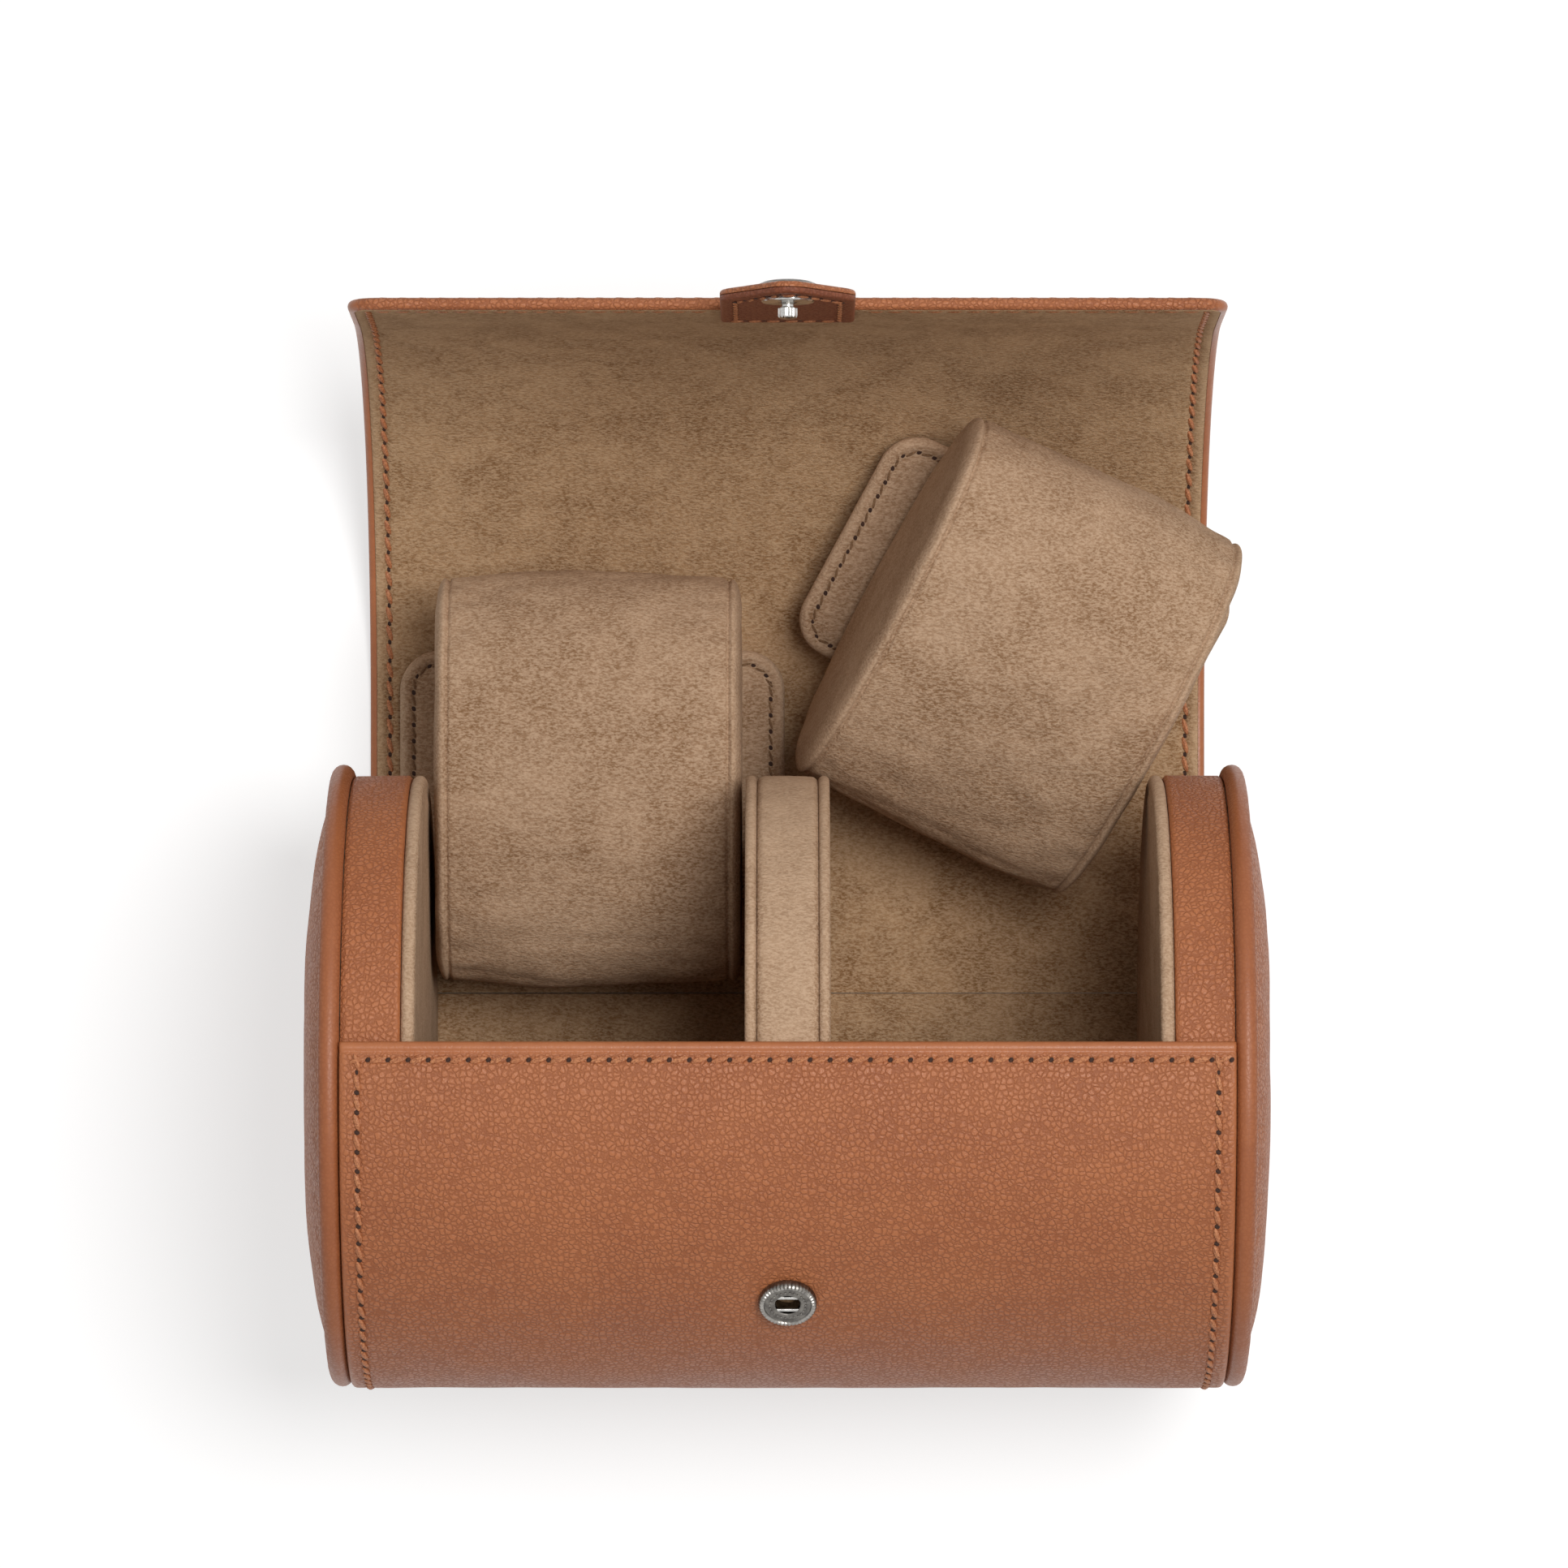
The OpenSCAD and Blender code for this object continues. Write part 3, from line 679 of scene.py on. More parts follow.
@dataclass(frozen=True)
class Finish:
    """A surface in three tones; each kind of finish wires its own nodes."""

    tones: Tones

    def make(self, name: str, palette: Palette) -> bpy.types.Material:
        """Makes the material.

        Args:
            name: Its name.
            palette: Shared groups.

        Returns:
            The material.
        """
        material = bpy.data.materials.new(name)
        material.use_nodes = True
        w = Wiring(material.node_tree)
        point = w.add("ShaderNodeTexCoord").outputs["Object"]
        worn = w.add("ShaderNodeAttribute", attribute_name="worn").outputs["Fac"]
        inputs, height, depth = self.wire(w, palette, point, worn)
        bump = w.add("ShaderNodeBump", {"Height": height, "Strength": 1.0, "Distance": depth * MM})
        w.feed(material.node_tree.nodes["Principled BSDF"], {**inputs, "Normal": bump.outputs[0]})
        return material

    def wire(self, w: Wiring, palette: Palette, point: bpy.types.NodeSocket,
             worn: bpy.types.NodeSocket) -> Wired:
        """Wires the surface.

        Args:
            w: The material's wiring.
            palette: Shared groups.
            point: The object's coordinates.
            worn: The piece's worn mask.

        Returns:
            The shader's inputs, and the bump's height and its depth in millimetres.
        """
        raise NotImplementedError


@dataclass(frozen=True)
class LeatherFinish(Finish):
    """Grained or smooth leather."""

    cell: float
    depth: float
    roughness: float
    cloud_share: float = 0.45
    lit_share: float = 0.35
    crease_share: float = 0.3
    rubbed_share: float = 0.35
    specular: float = 0.42

    def wire(self, w: Wiring, palette: Palette, point: bpy.types.NodeSocket,
             worn: bpy.types.NodeSocket) -> Wired:
        """Wires the leather."""
        dark, mid, light = self.tones.linear()
        grain = w.group(palette.grain, Point=point, Cell=1 / (self.cell * MM), Worn=worn)
        wear = w.group(palette.wear, Point=point, Worn=worn)
        lit = w.span(grain["Height"], 0.3, 1.0)
        colour = w.mix(w.math("MULTIPLY", wear["Cloud"], self.cloud_share), mid, light)
        colour = w.mix(w.math("MULTIPLY", lit, self.lit_share), colour, light)
        # Painted shade: the grain's creases are darkened towards the dark tone.
        colour = w.mix(w.math("MULTIPLY", grain["Crease"], self.crease_share), colour, dark)
        colour = w.mix(w.math("MULTIPLY", wear["Rubbed"], self.rubbed_share), colour, light)
        rough = w.math("MULTIPLY_ADD", grain["Crease"], 0.2, self.roughness)
        rough = w.math("MULTIPLY_ADD", wear["Cloud"], 0.08, rough)
        rough = w.math("MULTIPLY_ADD", wear["Rubbed"], -0.06, rough)
        inputs = {"Base Color": colour, "Roughness": rough, "Specular IOR Level": self.specular}
        return inputs, grain["Height"], self.depth


@dataclass(frozen=True)
class SuedeFinish(Finish):
    """Brushed suede with a short nap."""

    mottle: float
    depth: float
    fibre_share: float = 0.6
    rubbed_share: float = 0.4
    # Painted shade: the colour that seam grooves are darkened to.
    seam_tone: Rgb = (82, 50, 26)
    sheen: float = 0.15
    specular: float = 0.15

    def wire(self, w: Wiring, palette: Palette, point: bpy.types.NodeSocket,
             worn: bpy.types.NodeSocket) -> Wired:
        """Wires the suede."""
        dark, mid, light = self.tones.linear()
        nap = w.group(palette.nap, Point=point, Mottle=1 / (self.mottle * MM))
        colour = w.mix(nap["Tone"], dark, mid)
        colour = w.mix(w.math("MULTIPLY", nap["Fibre"], self.fibre_share), colour, light)
        # Painted shade: where the mask is below 0, deep in a seam, the suede is darkened towards the seam shade colour.
        colour = w.mix(w.math("MULTIPLY", worn, -1.0, clamp=True), colour, linear(self.seam_tone))
        colour = w.mix(w.math("MULTIPLY", worn, self.rubbed_share, clamp=True), colour, light)
        rough = w.span(nap["Tone"], 0.0, 1.0, 0.96, 0.82)
        inputs = {"Base Color": colour, "Roughness": rough, "Specular IOR Level": self.specular,
                  "Sheen Weight": self.sheen, "Sheen Roughness": 0.55, "Sheen Tint": light}
        return inputs, nap["Height"], self.depth


@dataclass(frozen=True)
class ThreadFinish(Finish):
    """Waxed sewing thread, or the painted shade inside a needle hole."""

    roughness: float
    depth: float = 0.08

    def wire(self, w: Wiring, palette: Palette, point: bpy.types.NodeSocket,
             worn: bpy.types.NodeSocket) -> Wired:
        """Wires the thread."""
        dark, mid, light = self.tones.linear()
        ply = w.noise(point, 0.35, 3.0, 0.7)
        colour = w.mix(w.span(ply, 0.35, 0.65), dark, light)
        colour = w.mix(w.span(w.noise(point, 9.0), 0.35, 0.65, 0.0, 0.4), colour, mid)
        rough = w.math("MULTIPLY_ADD", ply, 0.15, self.roughness)
        return {"Base Color": colour, "Roughness": rough}, ply, self.depth


@dataclass(frozen=True)
class MetalFinish(Finish):
    """Plated or polished metal."""

    roughness: float
    brushed: float
    depth: float = 0.006

    def wire(self, w: Wiring, palette: Palette, point: bpy.types.NodeSocket,
             worn: bpy.types.NodeSocket) -> Wired:
        """Wires the metal."""
        dark, mid, light = self.tones.linear()
        wear = w.group(palette.wear, Point=point, Worn=worn)
        haze = w.noise(point, 1.1, 4.0, 0.6)
        colour = w.mix(w.span(haze, 0.35, 0.65), dark, mid)
        colour = w.mix(w.math("MULTIPLY", wear["Rubbed"], 0.6), colour, light)
        rough = w.math("MULTIPLY_ADD", haze, self.brushed, self.roughness)
        inputs = {"Base Color": colour, "Roughness": rough, "Metallic": 1.0}
        return inputs, w.noise(point, 0.12, 2.0), self.depth


@dataclass(frozen=True)
class FillingFinish(Finish):
    """Foam or board inside the pads and panels."""

    cell: float
    depth: float

    def wire(self, w: Wiring, palette: Palette, point: bpy.types.NodeSocket,
             worn: bpy.types.NodeSocket) -> Wired:
        """Wires the filling."""
        dark, mid, light = self.tones.linear()
        pits = w.add("ShaderNodeTexVoronoi", {"Vector": point, "Scale": 1 / (self.cell * MM)}, feature="F1")
        pit = pits.outputs["Distance"]
        # Painted shade: the filling's pits are darker than the surface between them.
        colour = w.mix(w.span(pit, 0.2, 0.8), dark, light)
        colour = w.mix(w.span(w.noise(point, 7.0, 3.0), 0.35, 0.65, 0.0, 0.5), colour, mid)
        return {"Base Color": colour, "Roughness": w.span(pit, 0.0, 1.0, 0.95, 0.8)}, pit, self.depth


FINISHES = {
    Look.GRAINED: LeatherFinish(Tones((96, 46, 22), (158, 91, 52), (182, 113, 70)), 0.92, 0.15, 0.38),
    Look.SMOOTH: LeatherFinish(Tones((104, 52, 26), (146, 82, 46), (164, 98, 58)), 0.8, 0.035, 0.38),
    # Painted shade: a darker copy of the grained leather for the tab's inner face, which lies in shadow.
    Look.DARK: LeatherFinish(Tones((70, 32, 16), (112, 55, 28), (130, 70, 40)), 0.9, 0.05, 0.46),
    Look.SUEDE: SuedeFinish(Tones((132, 98, 68), (166, 133, 104), (206, 176, 148)), 14.0, 0.3),
    Look.LID_SUEDE: SuedeFinish(Tones((128, 92, 58), (168, 132, 96), (204, 172, 138)), 11.0, 0.3),
    Look.THREAD: ThreadFinish(Tones((140, 80, 46), (172, 104, 64), (200, 134, 90)), 0.5),
    Look.NAP_THREAD: ThreadFinish(Tones((92, 62, 36), (118, 86, 56), (138, 104, 72)), 0.75),
    # Painted shade: the near-black of the needle holes.
    Look.HOLE: ThreadFinish(Tones((38, 20, 12), (52, 28, 16), (64, 36, 22)), 0.8),
    Look.NICKEL: MetalFinish(Tones((96, 92, 88), (128, 124, 118), (196, 192, 186)), 0.22, 0.16),
    Look.STEEL: MetalFinish(Tones((176, 174, 170), (208, 206, 202), (232, 230, 226)), 0.1, 0.12),
    Look.FOAM: FillingFinish(Tones((188, 180, 160), (214, 206, 188), (230, 224, 208)), 0.9, 0.2),
    Look.BOARD: FillingFinish(Tones((112, 106, 96), (138, 132, 122), (154, 148, 138)), 0.5, 0.04),
}


class Shelf:
    """Makes each finish once and hands it out."""

    def __init__(self) -> None:
        """Makes every finish."""
        palette = Palette()
        self.made = {look: finish.make(look.value, palette) for look, finish in FINISHES.items()}

    def __getitem__(self, look: Look) -> bpy.types.Material:
        """The material of a look."""
        return self.made[look]


# Stitching


@dataclass(frozen=True)
class Stitching:
    """A line of slanted hand stitches, with dark beads between them painted as the shade of needle holes."""

    pitch: float = 3.25
    length: float = 3.1
    width: float = 0.95
    height: float = 0.85
    slant: float = 17.0

    def spots(self, line: Sequence[tuple[Vector, Vector]]) -> Iterator[Spot]:
        """Walks a line and stops once for every stitch.

        Args:
            line: Points with the direction that faces out of the surface.

        Yields:
            Point, direction of the line and outward direction of each stitch.
        """
        left = self.pitch / 2
        for (a, n), (b, _) in zip(line, line[1:]):
            run = b - a
            while left <= run.length:
                yield a + run * (left / run.length), run.normalized(), n
                left += self.pitch
            left -= run.length

    def sew(self, bm: bmesh.types.BMesh, spots: Iterable[Spot]) -> None:
        """Lays a thread at each spot and, half a pitch further on, a dark bead painted as the shade of a needle hole.

        Args:
            bm: Mesh that receives them: threads in slot 0, painted needle-hole shade in slot 1.
            spots: Where the stitches go.
        """
        lean = math.radians(self.slant)
        for point, along, out in spots:
            beside = out.cross(along).normalized()
            run = along * math.cos(lean) + beside * math.sin(lean)
            cross = out.cross(run)
            self._bead(bm, point + out * 0.12, cross * self.width / 2, out * self.height / 2,
                       run * self.length / 2, 0)
            # A small flat dark bead: painted shade of the needle hole.
            self._bead(bm, point + along * self.pitch / 2, (beside + along * 0.8) * 0.42, out * 0.14,
                       (along * 0.6 - beside * 0.5) * 0.5, 1)

    def piece(self, name: str, spots: Iterable[Spot], shelf: Shelf, thread: Look = Look.THREAD,
              body: str = "") -> bpy.types.Object:
        """Sews a piece of its own.

        Args:
            name: The piece's name.
            spots: Where the stitches go.
            shelf: The finishes.
            thread: The thread's finish.
            body: The body that it rides on, where it doesn't bend between two.

        Returns:
            The stitches.
        """
        bm = bmesh.new()
        self.sew(bm, spots)
        return finish_piece(bm, name, [shelf[thread], shelf[Look.HOLE]], body=body)

    @staticmethod
    def _bead(bm: bmesh.types.BMesh, centre: Vector, x: Vector, y: Vector, z: Vector, slot: int) -> None:
        """Adds one ellipsoid with the given half axes."""
        matrix = Matrix.Translation(centre) @ Matrix((x, y, z)).transposed().to_4x4()
        made = bmesh.ops.create_uvsphere(bm, u_segments=6, v_segments=5, radius=1.0, matrix=matrix)
        for face in {f for v in made["verts"] for f in v.link_faces}:
            face.material_index = slot


# Body of the roll


@dataclass(frozen=True)
class Roll:
    """Sizes that the pieces of the body share."""

    outer_r: float = 52.3
    cavity_r: float = 50.3
    rim_r: float = 50.25
    axis_z: float = 51.8
    half: float = 72.6

    @property
    def centre(self) -> Vector:
        """A point on the roll's axis."""
        return Vector((0, 0, self.axis_z))

    def around(self, radius: float, angle: float, x: float) -> Vector:
        """A point at a radius, and at an angle in degrees back from the top."""
        turn = math.radians(angle)
        return Vector((x, radius * math.sin(turn), self.axis_z + radius * math.cos(turn)))

    def out(self, angle: float) -> Vector:
        """The direction away from the axis at an angle back from the top."""
        turn = math.radians(angle)
        return Vector((0, math.sin(turn), math.cos(turn)))

    def reach(self, point: Vector) -> float:
        """A point's distance from the axis."""
        return math.hypot(point.y, point.z - self.axis_z)

    def angle(self, point: Vector) -> float:
        """A point's angle round the axis, in radians."""
        return math.atan2(point.y, point.z - self.axis_z)

    def rim_arc(self, point: Vector) -> float:
        """A point's way round the axis, measured at the rim."""
        return 50 * self.angle(point)

    def swell(self, point: Vector, scale: float, shift: float = 0.0) -> Vector:
        """Scales a point away from the axis and shifts it along it."""
        return Vector((point.x + shift, point.y * scale, (point.z - self.axis_z) * scale + self.axis_z))

    def spin(self, bm: bmesh.types.BMesh, profile: Outline, turns: int) -> None:
        """Spins a profile of (radius, X) round the roll's axis."""
        revolve(bm, profile, turns, self.centre, X_AXIS, Z_AXIS)


@dataclass
class Wrap:
    """The leather wall of the roll with its front panel, and its lining."""

    roll: Roll
    shelf: Shelf
    stitching: Stitching = field(default_factory=Stitching)
    start_angle: float = 8.0
    end_angle: float = -194.3
    leather_t: float = 1.1
    lip_r: float = 1.0
    lining_t: float = 0.4
    lining_start: float = 2.05
    seam_inset: float = 3.1
    seam_x: float = 69.7
    snap_angle: float = 42.6
    snap_hole_r: float = 3.2
    seam_depth: float = 0.26
    lip_run: float = 1.95

    @property
    def length(self) -> float:
        """Length of the wall from the panel's edge to the hinge, on its outside."""
        return math.radians(self.start_angle - self.end_angle) * self.roll.outer_r

    def place(self, x: float, run: float, radius: float) -> Vector:
        """A point at a distance from the panel's edge, kept above the floor."""
        angle = self.start_angle - math.degrees(run / self.roll.outer_r)
        point = self.roll.around(radius, angle, x)
        point.z = max(point.z, 0.0)
        return point

    def outside(self, x: float, run: float) -> float:
        """Radius of the leather's outer face.

        Args:
            x: Place along the roll.
            run: Distance from the panel's edge.

        Returns:
            The radius, with its lip, seams and soft waves.
        """
        radius = self.roll.outer_r - round_over(run, self.lip_r)
        radius -= 0.2 * bell(run - 1.75, 0.3) + 0.5 * round_over(self.roll.half - abs(x), 0.9)
        if abs(x) < self.seam_x + 0.6:
            radius -= self.seam_depth * bell(run - self.seam_inset, SEAM_W)
        if run > self.seam_inset:
            radius -= self.seam_depth * bell(abs(x) - self.seam_x, SEAM_W)
        calm = ease(run, 2.0, 9.0) * ease(self.roll.half - abs(x), 1.0, 6.0)
        wave = 0.16 * wander(x, run, 0, 22) + 0.07 * wander(x, run, 5, 7)
        return radius + calm * wave

    def inside(self, x: float, run: float) -> float:
        """Radius of the leather's inner face, which closes the lip and then backs on the board."""
        if run < self.lip_run:
            return self.roll.cavity_r + 0.03 + round_over(run, self.lip_r)
        return self.roll.outer_r - self.leather_t

    def worn(self, point: Vector) -> float:
        """How smooth and rubbed the leather is: its lip and its side edges."""
        run = math.radians(self.start_angle) - self.roll.angle(point)
        run = (run % math.tau) * self.roll.outer_r
        lip = 1.0 - ease(run, 1.5, 2.6) if run < 20 else 0.0
        return max(lip, 0.7 * (1.0 - ease(self.roll.half - abs(point.x), 0.3, 1.3)))

    def cut_snap_hole(self, bm: bmesh.types.BMesh) -> None:
        """Opens the leather under the snap's socket, for its barrel and the stud.

        Args:
            bm: The leather, closed all round.
        """
        out = self.roll.out(-self.snap_angle)

        def off_axis(point: Vector) -> float:
            """A point's distance from the snap's axis."""
            spoke = point - self.roll.centre
            if spoke.dot(out) < 0:
                return math.inf
            return (spoke - out * spoke.dot(out)).length
        faces = [f for f in bm.faces if off_axis(f.calc_center_median()) < self.snap_hole_r]
        bmesh.ops.delete(bm, geom=faces, context="FACES")
        bmesh.ops.bridge_loops(bm, edges=[e for e in bm.edges if e.is_boundary])

    def build_leather(self) -> bpy.types.Object:
        """The outer leather, in one sheet from the panel's lip to the hinge."""
        bm = bmesh.new()
        xs = graded(self.roll.half, 4.2, 0.3, 1.5)
        runs = [0.0, 0.08, 0.25, 0.5, 0.8] + steps(1.1, 4.4, 0.22) + steps(5.0, self.length, ROW_STEP)
        curved_slab(bm, xs, runs, self.outside, self.inside, self.place)
        self.cut_snap_hole(bm)
        return finish_piece(bm, "wrap_leather_sheet", [self.shelf[Look.GRAINED]], self.worn,
                            nodes=["wrap_leather"], slot="leather", body="case")

    def build_lining(self) -> bpy.types.Object:
        """The suede that lines the wall."""
        bm = bmesh.new()
        xs = graded(self.roll.half - 0.05, 1.0, 0.5, 3.0)
        inner = self.roll.cavity_r
        curved_slab(bm, xs, steps(self.lining_start, self.length, 2.5),
                    lambda x, run: inner + self.lining_t - 0.02,
                    lambda x, run: inner - 0.1 - 0.1 * wander(x, run, 3, 12) * ease(run, 2.1, 6.0),
                    self.place)
        return finish_piece(bm, "wrap_lining_suede", [self.shelf[Look.LID_SUEDE]],
                            nodes=["wrap_lining"], slot="suede", body="case")

    def seam_lines(self) -> list[list[tuple[Vector, Vector]]]:
        """The sewn lines: along the panel's edge and down both sides."""
        def spot(x: float, run: float) -> tuple[Vector, Vector]:
            """A point of the sewn surface and its outward direction."""
            angle = self.start_angle - math.degrees(run / self.roll.outer_r)
            return self.place(x, run, self.outside(x, run) + 0.05), self.roll.out(angle)
        lines = [[spot(x, self.seam_inset) for x in steps(-self.seam_x - 1.4, self.seam_x + 1.4, 1.0)]]
        for side in Side:
            lines.append([spot(side.value * self.seam_x, run)
                          for run in steps(self.seam_inset - 1.2, self.length - 2.5, 1.0)])
        return lines

    def build(self) -> list[bpy.types.Object]:
        """Builds the wall's leather, lining and stitches."""
        spots = (spot for line in self.seam_lines() for spot in self.stitching.spots(line))
        return [self.build_leather(), self.build_lining(),
                self.stitching.piece("wrap_stitches", spots, self.shelf, body="case")]


@dataclass
class RoundEnd:
    """One padded end: its dome, piping, side band and suede facing."""

    roll: Roll
    shelf: Shelf
    side: Side
    dome_r: float = 48.5
    apex_x: float = 80.2
    crown: float = 4.5
    crown_power: float = 4.4
    leather_t: float = 1.2
    piping_r: float = 1.8
    piping_x: float = 74.4
    band_from: float = 62.85
    band_to: float = 72.55
    band_t: float = 1.1
    facing_from: float = 60.5
    facing_t: float = 2.3
    stitch_r: float = 47.0
    stitching: Stitching = field(default_factory=lambda: Stitching(length=2.3))

    def dome_x(self, r: float) -> float:
        """Place of the dome's face along the roll at a radius."""
        return self.apex_x - self.crown * (r / self.dome_r) ** self.crown_power

    def spun(self, name: str, profile: Outline, turns: int, look: Look, node: str,
             shape: Callable[[Vector], Vector], worn: Worn, fill: Optional[float] = None) -> bpy.types.Object:
        """Spins a profile given for the right side, shapes it and puts it on this side.

        Args:
            name: Name of the piece without its side.
            profile: Points as (radius, X).
            turns: Steps round.
            look: Its finish.
            node: The solid that it stands for, without its side.
            shape: Moves each corner.
            worn: How rubbed the surface is at a point.
            fill: How firmly it is padded, if it is.

        Returns:
            The piece.
        """
        bm = bmesh.new()
        self.roll.spin(bm, [(r, x * self.side.value) for r, x in profile], turns)
        for vert in bm.verts:
            vert.co = shape(vert.co)
            vert.co.z = max(vert.co.z, 0.0)
        return finish_piece(bm, f"{name}_{self.side.word}", [self.shelf[look]], worn,
                            nodes=[f"{node}_{self.side.word}"], fill=fill, body="case",
                            slot="suede" if look is Look.SUEDE else "leather")

    def build_dome(self) -> bpy.types.Object:
        """The padded leather face, gathered along its seam."""
        rs = steps(0, 44, 2.0) + steps(44.5, self.dome_r, 0.4)
        front = [(r, self.dome_x(r) - 0.9 * round_over(self.dome_r - r, 1.2)) for r in rs]
        back = [(r, self.dome_x(r) - self.leather_t) for r in reversed(rs[::3])]
        rim = [(self.dome_r, self.dome_x(self.dome_r) - self.leather_t)]
        sign = self.side.value

        def gather(point: Vector) -> Vector:
            """Gathers the leather at its seam and lets the padding wander."""
            r, turn = self.roll.reach(point), self.roll.angle(point)
            if abs(point.x) < self.dome_x(r) - 1.05:
                return point
            seam = 0.4 * bell(r - self.stitch_r, 0.7)
            fold = math.sin(turn * 46 + 2.2 * wander(turn * 9, 0, sign, 1.0))
            pucker = 0.2 * (fold - 1) * bell(r - self.stitch_r + 1.6, 2.4)
            soft = 0.5 * wander(point.y, point.z, 40 * sign, 26) * (1 - (r / self.dome_r) ** 4)
            fine = 0.12 * wander(point.y, point.z, 9 * sign, 7) * (1 - (r / self.dome_r) ** 6)
            return point + Vector((sign * (pucker - seam + soft - 0.25 + fine), 0, 0))
        return self.spun("end_dome", front + rim + back, 240, Look.GRAINED, "end_face", gather,
                         lambda p: 0.55 * (1 - ease(self.dome_r - self.roll.reach(p), 0.4, 2.2)), fill=0.7)

    def build_dome_seam(self) -> bpy.types.Object:
        """The ring of stitches that holds the dome."""
        sign, count = self.side.value, 180
        x = sign * (self.dome_x(self.stitch_r) - 0.38)
        line = [(self.roll.around(self.stitch_r, 360 * i / count, x), X_AXIS * sign)
                for i in range(count + 1)]
        return self.stitching.piece(f"end_stitches_{self.side.word}", self.stitching.spots(line),
                                    self.shelf, body="case")

    def build_piping(self) -> bpy.types.Object:
        """The corded piping between the wall and the dome."""
        count = 18
        profile = [(self.roll.cavity_r + self.piping_r * math.cos(math.tau * i / count),
                    self.piping_x + self.piping_r * math.sin(math.tau * i / count))
                   for i in range(count + 1)]
        sign = self.side.value

        def lumpy(point: Vector) -> Vector:
            """Lets the cord show a little through the leather."""
            turn = self.roll.angle(point)
            swell = 0.05 * wander(turn * 52, 0, sign * 7, 3.0) - 0.04
            spoke = Vector((0, point.y, point.z - self.roll.axis_z)).normalized()
            core = self.roll.centre + spoke * self.roll.cavity_r + X_AXIS * sign * self.piping_x
            return point + (point - core).normalized() * swell
        return self.spun("piping_cord", profile, 220, Look.SMOOTH, "piping", lumpy,
                         lambda p: 0.5 * ease(self.roll.reach(p), 51.0, 52.0))

    def build_band(self) -> bpy.types.Object:
        """The leather band that shows between the piping and the facing."""
        top, low = self.roll.rim_r, self.roll.rim_r - self.band_t
        xs = steps(self.band_from, self.band_to, 0.5)

        def crown(x: float) -> float:
            """Radius of the band's outside, rounded over beside the facing."""
            return top - round_over(x - self.band_from, 0.5) - 0.6 * round_over(self.band_to - x, 0.6)
        profile = [(crown(x), x) for x in xs] + [(low, x) for x in reversed(xs[::4])]
        profile.append(profile[0])
        sign = self.side.value

        def soften(point: Vector) -> Vector:
            """Lets the band's outside wander a little."""
            r, arc = self.roll.reach(point), self.roll.rim_arc(point)
            if r < top - 0.75:
                return point
            return self.roll.swell(point, 1 + (0.12 * wander(arc, point.x, sign * 3, 9) - 0.1) / r)
        return self.spun("side_band_leather", profile, 220, Look.GRAINED, "side_band", soften,
                         lambda p: 0.6 * (1 - ease(abs(p.x) - self.band_from, 0.2, 0.9)))

    def build_facing(self) -> bpy.types.Object:
        """The suede disc that faces the compartment, rolled over at its rim."""
        half = self.facing_t / 2
        mid, rim = self.facing_from + half, self.roll.rim_r - half
        inner = [(r, self.facing_from) for r in steps(0, rim - 2.5, 2.6)]
        neck = [(rim - 1.4, self.facing_from + 0.22), (rim - 0.7, self.facing_from + 0.16)]
        roll = [(rim + half * math.sin(a), mid - half * math.cos(a))
                for a in steps(math.radians(8), math.radians(172), math.radians(16.4))]
        outer = [(rim - 0.6, self.facing_from + self.facing_t), (0, self.facing_from + self.facing_t)]
        sign = self.side.value

        def nap(point: Vector) -> Vector:
            """Pads the facing softly and makes its rim uneven."""
            r, arc = self.roll.reach(point), self.roll.rim_arc(point)
            push = 0.0
            if abs(point.x) < mid:
                push = 0.22 * (wander(point.y, point.z, 11 * sign, 18) - 0.6) * ease(rim - r, 0.0, 8.0)
            lump = 0.12 * wander(arc, sign * 5, point.x, 4) * ease(r, rim - 0.5, rim + 0.5)
            return self.roll.swell(point, 1 + (lump - 0.05) / max(r, 1), -sign * push)
        return self.spun("end_facing_suede", inner + neck + roll + outer, 180, Look.SUEDE, "end_facing", nap,
                         lambda p: 0.8 * ease(self.roll.reach(p), rim + 0.3, rim + 1.0))

    def build(self) -> list[bpy.types.Object]:
        """Builds the end's pieces."""
        return [self.build_dome(), self.build_dome_seam(), self.build_piping(), self.build_band(),
                self.build_facing()]


